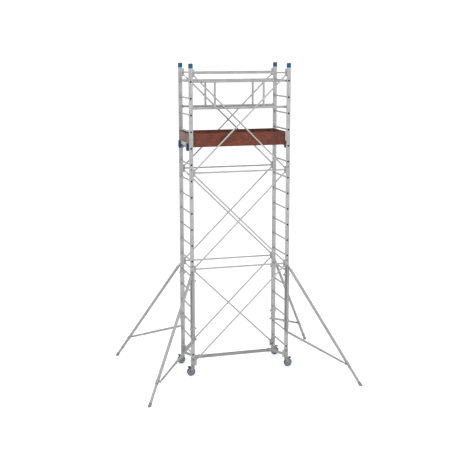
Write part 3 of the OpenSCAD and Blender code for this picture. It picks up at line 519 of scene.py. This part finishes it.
def bump(tree, shader, height, strength, distance):
    """A Bump node from a height to the shader's normal."""
    node = add(tree, "ShaderNodeBump", Strength=strength, Distance=distance)
    tree.links.new(height, node.inputs["Height"])
    tree.links.new(node.outputs["Normal"], shader.inputs["Normal"])


def scaled(colour, factor):
    """A colour made lighter or darker, held to 1."""
    return tuple(min(1.0, c * factor) for c in colour)


def metal_finish(name, colour, density, roughness, metallic, source="Object", scuffs=0.5, clouds=5.0):
    """Drawn or plated metal: the lines and clouds vary the colour, scuffs are paler, and the clouds vary the roughness.
    """
    material, tree, shader, coordinates = blank(name)
    marks = placed_group(
        tree, "Drawn metal", coordinates.outputs[source], Line_Density=density, Cloud_Size=clouds, Scuffs=scuffs
    )
    clouded = mixed(tree, marks.outputs["Clouds"], scaled(colour, 0.88), scaled(colour, 1.08))
    lined = mixed(
        tree, maths(tree, "MULTIPLY", marks.outputs["Lines"], 0.30), clouded, scaled(colour, 0.72)
    )
    worn = mixed(tree, marks.outputs["Scuff Mask"], lined, scaled(colour, 1.35))
    tree.links.new(worn, shader.inputs["Base Color"])
    roughen(tree, shader, marks.outputs["Clouds"], 0.12, roughness - 0.06)
    shader.inputs["Metallic"].default_value = metallic
    bump(tree, shader, marks.outputs["Lines"], 0.25, 0.0004)
    return material


def moulded_finish(name, colour, roughness, dust=0.25):
    """Moulded plastic or rubber: fine texture, with dust that pales and roughens it in patches."""
    material, tree, shader, coordinates = blank(name)
    marks = placed_group(tree, "Moulded surface", coordinates.outputs["Object"], Texture_Size=FINE_TEXTURE)
    dusty = mixed(
        tree, maths(tree, "MULTIPLY", marks.outputs["Dust"], dust), colour, tuple(0.7 * c + 0.12 for c in colour)
    )
    tree.links.new(dusty, shader.inputs["Base Color"])
    roughen(tree, shader, marks.outputs["Dust"], 0.2, roughness)
    shader.inputs["Specular IOR Level"].default_value = 0.25
    bump(tree, shader, marks.outputs["Height"], 0.3, 0.0003)
    return material


def board_finish(name, warm, dark, bright, grain, roughness, edge=None):
    """Film-faced board. With edge=(top height, colour), the top strip of the board is darkened towards that colour as
    painted shade.
    """
    material, tree, shader, coordinates = blank(name)
    board = placed_group(tree, "Film-faced board", coordinates.outputs["Object"], Grain=grain)
    for socket, colour in (("Warm", warm), ("Dark", dark), ("Bright", bright)):
        board.inputs[socket].default_value = (*colour, 1)
    colour = board.outputs["Color"]
    if edge:
        # Painted shade: a band along the top of the board, its lower edge wandering with the blotches, is mixed towards
        # the dark colour.
        height, top_band_painted_shade = edge
        apart = tree.nodes.new("ShaderNodeSeparateXYZ")
        tree.links.new(coordinates.outputs["Object"], apart.inputs[0])
        wander = maths(tree, "MULTIPLY", board.outputs["Blotches"], 10 * MM)
        line = maths(tree, "ADD", apart.outputs["Z"], wander)
        colour = mixed(tree, between(tree, line, height - 12 * MM, height + 20 * MM), colour, top_band_painted_shade)
    tree.links.new(colour, shader.inputs["Base Color"])
    roughen(tree, shader, board.outputs["Blotches"], 0.12, roughness)
    shader.inputs["Specular IOR Level"].default_value = 0.3
    bump(tree, shader, board.outputs["Height"], 0.2, 0.0004)
    return material


def mesh_board_finish(name, colour):
    """Deck board: brown film pressed with a fine wire mesh that gives grip."""
    material, tree, shader, coordinates = blank(name)
    cells = add(tree, "ShaderNodeTexVoronoi", Scale=130.0, Randomness=0.15)
    cells.feature = "DISTANCE_TO_EDGE"
    tree.links.new(coordinates.outputs["Object"], cells.inputs["Vector"])
    wires = between(tree, cells.outputs["Distance"], 0.0, 0.12)
    marks = placed_group(tree, "Moulded surface", coordinates.outputs["Object"], Texture_Size=40.0)
    base = mixed(tree, wires, scaled(colour, 0.55), colour)
    dusty = mixed(tree, maths(tree, "MULTIPLY", marks.outputs["Dust"], 0.4), base, (0.16, 0.12, 0.09))
    tree.links.new(dusty, shader.inputs["Base Color"])
    shader.inputs["Roughness"].default_value = 0.5
    bump(tree, shader, wires, 0.5, 0.0008)
    return material


# ---------- settings ----------


def length(name, description, default):
    """A length setting, in metres."""
    return bpy.props.FloatProperty(name=name, description=description, default=default, unit="LENGTH")


def colour(name, description, default):
    """A linear colour setting."""
    return bpy.props.FloatVectorProperty(name=name, description=description, default=default, subtype="COLOR")


class TowerSizes(bpy.types.PropertyGroup):
    """Sizes of the finished details."""

    stile_corner: length("Stile Corner", "Radius of a stile's corners", 4 * MM)
    groove_depth: length("Groove Depth", "Depth of the grooves down a stile", 1.2 * MM)
    flute_depth: length("Flute Depth", "Depth of the grip flutes on a rung", 0.9 * MM)
    flutes: bpy.props.IntProperty(name="Flutes", description="Number of flutes round a rung", default=20)
    weld_bead: length("Weld Bead", "Half thickness of a weld bead", 2.4 * MM)
    plug_head: length("Plug Head", "Radius of the head of a rung plug", 16.5 * MM)
    cap_crown: length("Cap Crown", "Height over which a post cap closes", 24 * MM)
    boot_ribs: bpy.props.IntProperty(name="Boot Ribs", description="Ribs round a rubber foot", default=4)


class TowerColours(bpy.types.PropertyGroup):
    """Colours of the finishes, linear."""

    aluminium: colour("Aluminium", "Mill-finished frames", (0.375, 0.375, 0.379))
    dull_aluminium: colour("Dull Aluminium", "Stabiliser tubes", (0.31, 0.31, 0.312))
    zinc: colour("Zinc", "Plated steel", (0.24, 0.25, 0.26))
    dark_steel: colour("Dark Steel", "Pins and bolts", (0.10, 0.10, 0.105))
    black: colour("Black", "Plugs and pedals", (0.006, 0.006, 0.007))
    blue: colour("Blue", "Post caps", (0.001, 0.070, 0.150))
    deep_blue: colour("Deep Blue", "Platform hooks", (0.002, 0.035, 0.085))
    board: colour("Board", "Toe boards", (0.128, 0.026, 0.011))
    board_dark: colour("Board Dark", "Dark blotches", (0.075, 0.019, 0.010))
    board_bright: colour("Board Bright", "Bright flecks", (0.22, 0.046, 0.018))
    tyre: colour("Tyre", "Castor tyre", (0.045, 0.050, 0.055))
    hub: colour("Hub", "Castor hub", (0.20, 0.26, 0.30))


class TowerStage(bpy.types.PropertyGroup):
    """Where the camera stands, from the middle of the tower, and how it looks."""

    camera: bpy.props.FloatVectorProperty(
        name="Camera", description="Place of the camera", default=(-5.051, -16.578, 5.801), unit="LENGTH")
    yaw: bpy.props.FloatProperty(
        name="Yaw", description="Turn to the right of straight ahead", default=math.radians(16.99), unit="ROTATION")
    pitch: bpy.props.FloatProperty(
        name="Pitch", description="Tilt down", default=math.radians(11.05), unit="ROTATION")
    lens: bpy.props.FloatProperty(
        name="Lens", description="Focal length in millimetres on a 36 mm sensor", default=75.75)


# ---------- pieces ----------


class TOWER_OT_finishes(bpy.types.Operator):
    """Makes the finishes and gives them to the CAD parts that stay"""

    bl_idname = "tower.finishes"
    bl_label = "Finishes"

    def execute(self, context):
        c = context.scene.tower_colours
        drawn_metal_group()
        moulded_group()
        film_board_group()
        alu, dull, zinc = tuple(c.aluminium), tuple(c.dull_aluminium), tuple(c.zinc)
        # Painted shade for the top strip of the toe boards: their top height and a dark colour.
        edge = (limits("toe_boards")[1][2], scaled(tuple(c.board_dark), 0.45))
        board = (tuple(c.board), tuple(c.board_dark), tuple(c.board_bright))
        FINISHES.update(
            upright=metal_finish("aluminium_upright", alu, (900, 900, 3), 0.42, 0.75),
            across=metal_finish("aluminium_across", alu, (3, 900, 900), 0.42, 0.75),
            fore_and_aft=metal_finish("aluminium_fore_and_aft", alu, (900, 3, 900), 0.42, 0.75),
            drawn=metal_finish("aluminium_drawn", alu, (4, 1200, 1), 0.40, 0.75, "UV"),
            drawn_dull=metal_finish("aluminium_drawn_dull", dull, (4, 1200, 1), 0.45, 0.7, "UV", 0.8),
            dull=metal_finish("aluminium_dull", dull, (900, 900, 3), 0.45, 0.7, scuffs=0.8),
            spine=metal_finish("aluminium_spine", scaled(dull, 0.85), (3, 900, 900), 0.45, 0.7, scuffs=0.8),
            weld=metal_finish("weld_metal", scaled(alu, 0.9), (400, 400, 400), 0.35, 0.85, scuffs=0.2),
            zinc=metal_finish("zinc_plate", zinc, (60, 60, 60), 0.38, 0.8, scuffs=0.6, clouds=30.0),
            dark=metal_finish("dark_steel", tuple(c.dark_steel), (80, 80, 80), 0.42, 0.6, scuffs=0.4, clouds=40.0),
            black=moulded_finish("black_plastic", tuple(c.black), 0.42),
            blue=moulded_finish("blue_plastic", tuple(c.blue), 0.34, dust=0.12),
            deep_blue=moulded_finish("deep_blue_plastic", tuple(c.deep_blue), 0.38, dust=0.15),
            tyre=moulded_finish("castor_tyre", tuple(c.tyre), 0.6, dust=0.5),
            hub=moulded_finish("castor_hub", tuple(c.hub), 0.4, dust=0.3),
            rubber=moulded_finish("foot_rubber", (0.17, 0.17, 0.172), 0.65, dust=0.6),
            board_along=board_finish("board_along", *board, (4, 60, 90), 0.38, edge),
            board_across=board_finish("board_across", *board, (60, 4, 90), 0.38, edge),
            deck=mesh_board_finish("deck_mesh", scaled(board[1], 0.8)),
        )
        kept = {
            "spine": ["base_spine"],
            "dull": ["base_fork_left", "base_fork_right", "stabiliser_channels"]
            + [f"stabiliser_mast_{c}" for c in CORNERS],
            "zinc": ["toe_clips", "hatch_hinges", "hatch_handle"] + [f"castor_fork_{c}" for c in CORNERS],
            "dark": ["frame_pins"],
            "upright": ["frame_spigots", "stabiliser_clamps"],
            "across": ["guard_frame_front", "guard_frame_rear", "horizontal_braces", "brace_plates"],
            "fore_and_aft": ["platform_frame"],
            "deep_blue": ["platform_hooks"],
            "deck": ["deck_board", "hatch_panel"],
        }
        for finish, nodes in kept.items():
            for node in nodes:
                dress(node, finish)
        return {"FINISHED"}


class TOWER_OT_ladder_frames(bpy.types.Operator):
    """Makes the grooved stiles, the fluted rungs and the welds of the end frames"""

    bl_idname = "tower.ladder_frames"
    bl_label = "Ladder Frames"

    def execute(self, context):
        s = context.scene.tower_sizes
        outer = grooved(
            box_outline(STILE_WIDTH, STILE_DEPTH, s.stile_corner, 5, 36), (STILE_WIDTH * 0.2,), s.groove_depth, 2.6 * MM
        )
        inner = box_outline(
            STILE_WIDTH - 2 * STILE_WALL, STILE_DEPTH - 2 * STILE_WALL, s.stile_corner / 2, 5, 36
        )
        rung = fluted_outline(RUNG_RADIUS, s.flute_depth, s.flutes, 4 * s.flutes)
        for end, x in zip(ENDS, (-POST_X, POST_X)):
            for t, tier in enumerate(TIERS):
                stiles, rungs, welds = [], [], []
                for y in (-POST_Y, POST_Y):
                    foot, head = at_tower(x, y, JOINT_Z[t]), at_tower(x, y, JOINT_Z[t + 1])
                    stiles.append(pipe(outer, inner, foot, head, (1, 0, 0)))
                for k in range(RUNGS_PER_FRAME):
                    z = rung_z(t * RUNGS_PER_FRAME + k)
                    rungs.append(bar(rung, at_tower(x, -STILE_OUT, z), at_tower(x, STILE_OUT, z)))
                    for y in (-POST_Y, POST_Y):
                        inside = y - math.copysign(STILE_DEPTH / 2 + 0.6 * MM, y)
                        welds.append(weld(at_tower(x, inside, z), (0, 1, 0), RUNG_RADIUS + 0.6 * MM, s.weld_bead))
                node = f"ladder_frame_{end}_{tier}"
                make_piece(f"stiles_{end}_{tier}", stiles, "drawn", STATIC, [node])
                make_piece(f"rungs_{end}_{tier}", rungs, "drawn", STATIC)
                make_piece(f"rung_welds_{end}_{tier}", welds, "weld", STATIC)
        return {"FINISHED"}


class TOWER_OT_rung_plugs(bpy.types.Operator):
    """Makes the domed plugs in the ends of the rungs"""

    bl_idname = "tower.rung_plugs"
    bl_label = "Rung Plugs"

    def execute(self, context):
        head = context.scene.tower_sizes.plug_head
        dome = np.linspace(0, math.pi / 2 * 0.93, 7)
        profile = [(PLUG_RADIUS, -8 * MM), (PLUG_RADIUS, 0), (head, 0), (head, 0.8 * MM)]
        profile += [(head * math.cos(a), (0.8 + 2.4 * math.sin(a)) * MM) for a in dome[1:]]
        plugs = [
            turned(profile, at_tower(x, side * STILE_OUT, rung_z(k)), (0, side, 0), 24)
            for x in (-POST_X, POST_X) for side in (-1, 1) for k in range(RUNG_COUNT)
        ]
        make_piece("rung_end_plugs", plugs, "black", STATIC, ["rung_plugs"])
        return {"FINISHED"}


class TOWER_OT_post_caps(bpy.types.Operator):
    """Makes the rounded caps on the four posts"""

    bl_idname = "tower.post_caps"
    bl_label = "Post Caps"

    def execute(self, context):
        crown = context.scene.tower_sizes.cap_crown
        low, high = limits("post_caps")
        width = 2 * (high[0] - CENTRE[0] - POST_X)
        depth = 2 * (high[1] - CENTRE[1] - POST_Y)
        height = high[2] - low[2]
        turn = np.linspace(0, math.pi / 2, 8)
        z = np.concatenate([[0, 1.2 * MM, 9 * MM, 11 * MM, 13 * MM], height - crown + crown * np.sin(turn)])
        inset = np.concatenate([[1.2, 0, 0, 1.6, 2.2], 2.2 + 9 * (1 - np.cos(turn))]) * MM
        outline = box_outline(width, depth, 9 * MM, 7)
        rings = np.stack([shrunk(outline, i) for i in inset])
        caps = [
            loft(carried(rings, z, at_tower(x, y, low[2]), (0, 0, 1), (1, 0, 0)))
            for x in (-POST_X, POST_X) for y in (-POST_Y, POST_Y)
        ]
        make_piece("post_end_caps", caps, "blue", STATIC, ["post_caps"])
        return {"FINISHED"}


class TOWER_OT_braces(bpy.types.Operator):
    """Makes the diagonal braces, with their ends pressed flat round the pins"""

    bl_idname = "tower.braces"
    bl_label = "Braces"

    def execute(self, context):
        blade = (26 * MM, 4 * MM, 26 * MM, 46 * MM)
        tube_middle, blade_middle = BRACE_RADIUS + 1 * MM, 5.3 * MM
        for tier in range(len(TIERS)):
            braces = []
            for side in (-1, 1):
                for lean in (-1, 1):
                    if tier == 0 and side == -1 and lean == -1:
                        continue
                    foot = at_tower(-lean * BRACE_PIN_X, side * POST_Y, NODE_Z[tier] + NODE_STEP)
                    head = at_tower(lean * BRACE_PIN_X, side * POST_Y, NODE_Z[tier + 1] - NODE_STEP)
                    out = np.array([0, lean * side, 0])
                    braces.append(pressed_tube(foot, head, out, BRACE_RADIUS, blade, (tube_middle, blade_middle)))
            stands_for = ["diagonal_braces"] if tier == 0 else []
            make_piece(f"diagonals_{TIERS[tier]}", braces, "drawn", STATIC, stands_for)
        return {"FINISHED"}


class TOWER_OT_guard_welds(bpy.types.Operator):
    """Makes the welds of the guard frames"""

    bl_idname = "tower.guard_welds"
    bl_label = "Guard Frame Welds"

    def execute(self, context):
        upright_x, upright_radius = POST_X / 2, 19 * MM
        knee_z = limits("guard_frame_front")[0][2] + 24 * MM
        rail_y = POST_Y - 55 * MM
        welds = []
        for side in (-1, 1):
            for x in (-upright_x, upright_x):
                for z in (knee_z + RAIL_RADIUS * 0.72, rung_z(RUNG_COUNT - 1) - RAIL_RADIUS * 0.72):
                    welds.append(weld(at_tower(x, side * rail_y, z), (0, 0, 1), upright_radius, 2.6 * MM))
        make_piece("guard_frame_welds", welds, "weld", STATIC)
        return {"FINISHED"}


class TOWER_OT_toe_boards(bpy.types.Operator):
    """Makes the four toe boards, with rounded edges, and the rivets of their corner angles"""

    bl_idname = "tower.toe_boards"
    bl_label = "Toe Boards"

    def execute(self, context):
        low, high = limits("toe_boards")
        deck = limits("deck_board")[1][2]
        thick = 20 * MM
        middle = (low + high) / 2
        tall = box_outline(high[2] - low[2], thick, 3 * MM, 5)
        short = box_outline(high[2] - deck, thick, 3 * MM, 5)
        long_boards, end_boards, rivets = [], [], []
        for s in (-1, 1):
            y = middle[1] + s * ((high[1] - low[1]) / 2 - thick / 2)
            long_boards.append(bar(tall, (low[0], y, middle[2]), (high[0], y, middle[2]), (0, 0, 1), 1.5 * MM))
            x = middle[0] + s * ((high[0] - low[0]) / 2 - thick / 2)
            z = (deck + high[2]) / 2
            start, end = (x, low[1] + thick + 0.3 * MM, z), (x, high[1] - thick - 0.3 * MM, z)
            end_boards.append(bar(short, start, end, (0, 0, 1), 1.5 * MM))
            for a in (-1, 1):
                for z in (deck + 45 * MM, high[2] - 45 * MM):
                    place = (middle[0] + a * ((high[0] - low[0]) / 2 - thick - 22 * MM), y + s * thick / 2, z)
                    rivets.append(turned(
                        [(4 * MM, -0.4 * MM), (4 * MM, 0.4 * MM), (3 * MM, 1.1 * MM), (1.2 * MM, 1.5 * MM)],
                        place, (0, s, 0), 20))
        make_piece("long_toe_boards", long_boards, "board_along", STATIC, ["toe_boards"])
        make_piece("end_toe_boards", end_boards, "board_across", STATIC)
        make_piece("toe_board_rivets", rivets, "zinc", STATIC)
        return {"FINISHED"}


class TOWER_OT_base(bpy.types.Operator):
    """Makes the welds and set bolts of the base"""

    bl_idname = "tower.base"
    bl_label = "Base"

    def execute(self, context):
        low, high = limits("base_spine")
        z = (low[2] + high[2]) / 2
        collar = 36 * MM
        spine_end = (high[0] - low[0]) / 2
        parts = []
        for s in (-1, 1):
            inner = s * (spine_end - 40 * MM)
            parts.append(weld(at_tower(s * (spine_end + 62 * MM), 0, z), (1, 0, 0), collar - 9 * MM))
            parts += hex_bolt(at_tower(inner + s * 18 * MM, 0, z + collar - 0.6 * MM), (0, 0, 1), 15 * MM, 9 * MM)
            parts += hex_bolt(at_tower(inner + s * 18 * MM, -collar + 0.6 * MM, z), (0, -1, 0), 15 * MM, 9 * MM)
        make_piece("base_bolts", parts, "zinc", STATIC)
        return {"FINISHED"}


class TOWER_OT_castors(bpy.types.Operator):
    """Makes the tyres, hubs, swivel races, axle nuts and pedals of the castors"""

    bl_idname = "tower.castors"
    bl_label = "Castors"

    def execute(self, context):
        wheel_radius, half = 75 * MM, 20 * MM
        b = np.linspace(-math.pi / 2, math.pi / 2, 33)
        crown = np.abs(np.cos(b)) ** 0.35
        h = 18.5 * MM * np.sin(b)
        tread = 60 * MM + (wheel_radius - 60 * MM) * crown
        tread -= 1.1 * MM * (np.exp(-((np.abs(h) - 7 * MM) / (1.4 * MM)) ** 4))
        tyre = np.concatenate([np.stack([tread, h], -1), [(58.5 * MM, 17 * MM), (58.5 * MM, -17 * MM)]])
        hub = np.array([
            (6.1, -20), (15, -20), (18, -18.5), (19, -6), (22, -4.5), (50, -4), (52, -6), (53, -16.5), (54, -17.5),
            (60, -17.5), (60.5, -16), (60.5, 16), (60, 17.5), (54, 17.5), (53, 16.5), (52, 6), (50, 4), (22, 4.5),
            (19, 6), (18, 18.5), (15, 20), (6.1, 20),
        ]) * MM
        spoke, rib = box_outline(3.5 * MM, 9 * MM, 1 * MM, 3), box_outline(2.6 * MM, 3 * MM, 1.2 * MM, 4)
        axis = np.array([0, 1, 0])
        for sx, corner in zip(SIDE_X, CORNERS):
            centre, _ = joint(f"wheel_spin_{corner}")
            body = f"wheel_{corner}"
            make_piece(f"tyre_{corner}", [turned(tyre, centre, axis, 72, True)], "tyre", body,
                       [f"castor_wheel_{corner}"])
            spokes = [turned(hub, centre, axis, 72, True)]
            for a in around(8):
                out = np.array([math.cos(a), 0, math.sin(a)])
                for s in (-1, 1):
                    beside = centre + axis * s * 8 * MM
                    spokes.append(bar(spoke, beside + out * 17 * MM, beside + out * 53.5 * MM, np.cross(out, axis)))
            make_piece(f"hub_{corner}", spokes, "hub", body)
            stem, _ = joint(f"castor_swivel_{corner}")
            race_height = 2 * wheel_radius + 14 * MM
            trim = [ring((stem[0], stem[1], race_height), (0, 0, 1), 25 * MM, 3 * MM)]
            for s in (-1, 1):
                trim += hex_bolt(centre + axis * s * (half + 12.2 * MM), axis * s, 17 * MM, 8 * MM)
            make_piece(f"castor_trim_{corner}", trim, "zinc", f"castor_{corner}")
            low, high = limits(f"castor_pedal_{corner}")
            middle = (low + high) / 2
            outline = box_outline(high[0] - low[0], high[2] - low[2] - 1.6 * MM, 4.5 * MM, 6)
            place = middle - np.array([0, 0, 0.8 * MM])
            reach = np.array([0, (high[1] - low[1]) / 2, 0])
            pedal = [bar(outline, place - reach, place + reach, (1, 0, 0), 2.2 * MM)]
            for step in np.linspace(-0.30, 0.38, 5):
                x = middle[0] + sx * step * (high[0] - low[0])
                foot = np.array([x, middle[1], high[2] - 1.7 * MM])
                pedal.append(bar(rib, foot - reach * 0.82, foot + reach * 0.82, (1, 0, 0)))
            make_piece(f"brake_pedal_{corner}", pedal, "black", f"pedal_{corner}",
                       [f"castor_pedal_{corner}"])
        return {"FINISHED"}


class TOWER_OT_stabilisers(bpy.types.Operator):
    """Makes the telescoping legs and struts, their collars and rubber feet, and the clamp knobs"""

    bl_idname = "tower.stabilisers"
    bl_label = "Stabilisers"

    def execute(self, context):
        sizes = context.scene.tower_sizes
        leg_tube, foot_tube, strut_tube, strut_rod = 2080 * MM, 1000 * MM, 780 * MM, 900 * MM
        boot_base, boot_length, boot_radius = 30 * MM, 70 * MM, 26 * MM
        foot_radius, rod_radius, collar_radius = 22.7 * MM, 17.7 * MM, 30 * MM
        eye = (26 * MM, 10 * MM, 26 * MM, 60 * MM)
        for corner in CORNERS:
            pivot, hinge = joint(f"leg_lift_{corner}")
            root, _ = joint(f"strut_tilt_{corner}")
            _, d = joint(f"foot_slide_{corner}")
            _, strut_d = joint(f"strut_slide_{corner}")
            side = hinge * np.sign(np.dot(root - pivot, hinge))
            length = -pivot[2] / d[2]
            pin = pivot + d * (length - STRUT_TO_FOOT)
            leg_end = pivot + d * leg_tube
            leg = [pressed_tube(pivot, leg_end, side, LEG_RADIUS, eye, pressed=(True, False), count=40)]
            collar = np.array([(LEG_RADIUS + 0.2 * MM, -30 * MM), (collar_radius - 1 * MM, -30 * MM),
                               (collar_radius, -28.5 * MM), (collar_radius, 28.5 * MM),
                               (collar_radius - 1 * MM, 30 * MM), (LEG_RADIUS + 0.2 * MM, 30 * MM)])
            leg.append(turned(collar, pin, d, 48, True))
            bore = foot_radius + 0.7 * MM
            gland = np.array([(bore, -22 * MM), (LEG_RADIUS + 2.6 * MM, -22 * MM), (LEG_RADIUS + 3 * MM, -20 * MM),
                              (LEG_RADIUS + 3 * MM, 0), (LEG_RADIUS + 1.2 * MM, 2.4 * MM), (bore, 2.4 * MM)])
            make_piece(f"leg_tube_{corner}", leg, "drawn_dull", f"leg_{corner}",
                       [f"stabiliser_leg_{corner}"])
            boss = [(12, 23), (12, 42.6), (11.2, 43.4), (5.5, 43.6), (5.5, 55.4), (16.5, 55.5), (18, 56.6), (18, 60),
                    (16.8, 61.4)]
            fittings = [turned(np.array(boss) * MM, pin, side, 40), turned(gland, leg_end, d, 48, True)]
            fittings += hex_bolt(pin + side * 61.2 * MM, side, 15 * MM, 8 * MM)
            fittings += hex_bolt(pin - side * 29.4 * MM, -side, 15 * MM, 8 * MM)
            make_piece(f"leg_fittings_{corner}", fittings, "zinc", f"leg_{corner}")
            foot_top = pivot + d * (length - foot_tube - boot_base)
            foot = [bar(round_outline(foot_radius, 40), foot_top, pivot + d * (length - boot_base - 2 * MM))]
            make_piece(f"foot_tube_{corner}", foot, "drawn_dull", f"foot_{corner}",
                       [f"stabiliser_foot_{corner}"])
            h = np.linspace(0, 1, 8 * sizes.boot_ribs + 1)
            r = boot_radius - 1.6 * MM * (0.5 - 0.5 * np.cos(TAU * sizes.boot_ribs * h))
            r[0] = boot_radius - 3 * MM
            boot_heights = length - boot_length + (boot_length - boot_base) * h
            profile = np.concatenate([
                [(foot_radius + 0.2 * MM, boot_heights[0] - 0.5 * MM)], np.stack([r, boot_heights], -1),
                [(boot_radius, length + 4 * MM), (boot_radius, length + 60 * MM)],
            ])
            outlines = profile[:, :1, None] * round_outline(1, 48)
            rings = carried(outlines, profile[:, 1], pivot, d)
            over = np.clip(-rings[..., 2:] / -d[2], 0, None)
            rings = rings - over * d
            make_piece(f"foot_boot_{corner}", [loft(rings)], "rubber", f"foot_{corner}")
            eye_centre = pin + side * np.dot(root - pivot, side)
            reach = np.linalg.norm(eye_centre - root)
            outer = [pressed_tube(root, root + strut_d * strut_tube, side, STRUT_RADIUS, eye[:3] + (44 * MM,),
                                  pressed=(True, False))]
            ferrule = np.array([(18.1, -16), (22, -16), (22.6, -14.5), (22.6, 0), (21.2, 1.8), (18.1, 1.8)]) * MM
            outer.append(turned(ferrule, root + strut_d * strut_tube, strut_d, 40, True))
            make_piece(f"strut_outer_{corner}", outer, "drawn_dull", f"strut_{corner}",
                       [f"strut_tube_{corner}"])
            rod_start = root + strut_d * (reach - strut_rod)
            rod_end = root + strut_d * (reach - 16 * MM)
            wide = (22 * MM, 10 * MM, 14 * MM, 40 * MM)
            rod = [pressed_tube(rod_end, rod_start, side, rod_radius, wide, pressed=(True, False))]
            loop = np.array([(14.2, -4.2), (15, -5), (19, -5), (20, -4), (20, 4), (19, 5), (15, 5), (14.2, 4.2)])
            rod.append(turned(loop * MM, eye_centre, side, 48, True))
            make_piece(f"strut_inner_{corner}", rod, "drawn_dull", f"rod_{corner}",
                       [f"strut_rod_{corner}"])
        self.clamp_bolts()
        return {"FINISHED"}

    def clamp_bolts(self):
        """A bolt head on each side of every clamp."""
        low, high = limits("stabiliser_clamps")
        parts = []
        for sx, sy in zip(SIDE_X, SIDE_Y):
            for z in (low[2] + 25 * MM, high[2] - 25 * MM):
                for way in (-1, 1):
                    head = at_tower(sx * POST_X + way * 46 * MM, sy * (POST_Y + 5 * MM), z)
                    parts += hex_bolt(head, (way, 0, 0), 15 * MM, 9 * MM)
        make_piece("clamp_bolts", parts, "zinc", STATIC)


class TOWER_OT_stage(bpy.types.Operator):
    """Makes the floor, the lights and the camera"""

    bl_idname = "tower.stage"
    bl_label = "Stage"

    def execute(self, context):
        settings = context.scene.tower_stage
        size = 300.0
        mesh = bpy.data.meshes.new("studio_floor")
        mesh.from_pydata([(-size, -size, 0), (size, -size, 0), (size, size, 0), (-size, size, 0)], [], [(0, 1, 2, 3)])
        floor = bpy.data.objects.new("studio_floor", mesh)
        context.scene.collection.objects.link(floor)
        material, _, shader, _ = blank("pale_floor")
        pale = {"Base Color": (0.93, 0.93, 0.93, 1), "Roughness": 0.9, "Specular IOR Level": 0.1,
                "Emission Color": (1, 1, 1, 1), "Emission Strength": 0.12}
        for socket, value in pale.items():
            shader.inputs[socket].default_value = value
        mesh.materials.append(material)
        world = bpy.data.worlds.new("studio")
        context.scene.world = world
        world.use_nodes = True
        background = world.node_tree.nodes["Background"]
        background.inputs["Color"].default_value = (1, 1, 1, 1)
        background.inputs["Strength"].default_value = 1.15
        for name, place, aim, power, width in (
            ("key_light", (-7, -10, 12), (0, 0, 2.5), 600, 6),
            ("fill_light", (10, -8, 7), (0, 0, 2.0), 200, 6),
        ):
            light = bpy.data.lights.new(name, "AREA")
            light.energy = power
            light.size = width
            lamp = bpy.data.objects.new(name, light)
            lamp.location = at_tower(*place)
            toward = at_tower(*aim) - at_tower(*place)
            lamp.rotation_euler = (
                math.atan2(math.hypot(toward[0], toward[1]), -toward[2]), 0, math.atan2(-toward[0], toward[1])
            )
            context.scene.collection.objects.link(lamp)
        camera = bpy.data.objects.new("camera", bpy.data.cameras.new("camera"))
        camera.data.lens = settings.lens
        camera.data.sensor_width = 36
        camera.data.clip_end = 1000
        camera.location = at_tower(*settings.camera)
        camera.rotation_euler = (math.pi / 2 - settings.pitch, 0, -settings.yaw)
        context.scene.collection.objects.link(camera)
        context.scene.camera = camera
        context.scene.view_settings.view_transform = "Standard"
        return {"FINISHED"}


class TOWER_PT_panel(bpy.types.Panel):
    """Lists the steps that finish the tower"""

    bl_idname = "TOWER_PT_panel"
    bl_label = "Mobile Tower"
    bl_space_type = "VIEW_3D"
    bl_region_type = "UI"
    bl_category = "Tower"

    def draw(self, context):
        for step in STEPS:
            self.layout.operator(step.bl_idname)
        for group in (context.scene.tower_sizes, context.scene.tower_colours, context.scene.tower_stage):
            for name in group.__annotations__:
                self.layout.prop(group, name)


STEPS = (
    TOWER_OT_finishes,
    TOWER_OT_ladder_frames,
    TOWER_OT_rung_plugs,
    TOWER_OT_post_caps,
    TOWER_OT_braces,
    TOWER_OT_guard_welds,
    TOWER_OT_toe_boards,
    TOWER_OT_base,
    TOWER_OT_castors,
    TOWER_OT_stabilisers,
    TOWER_OT_stage,
)
GROUPS = {"tower_sizes": TowerSizes, "tower_colours": TowerColours, "tower_stage": TowerStage}


def register():
    for group in GROUPS.values():
        bpy.utils.register_class(group)
    for step in STEPS:
        bpy.utils.register_class(step)
    bpy.utils.register_class(TOWER_PT_panel)
    for name, group in GROUPS.items():
        setattr(bpy.types.Scene, name, bpy.props.PointerProperty(type=group))


def unregister():
    for name in GROUPS:
        delattr(bpy.types.Scene, name)
    bpy.utils.unregister_class(TOWER_PT_panel)
    for step in reversed(STEPS):
        bpy.utils.unregister_class(step)
    for group in reversed(list(GROUPS.values())):
        bpy.utils.unregister_class(group)


def main():
    register()
    for step in STEPS:
        group, name = step.bl_idname.split(".")
        getattr(getattr(bpy.ops, group), name)()


if __name__ == "__main__":
    main()
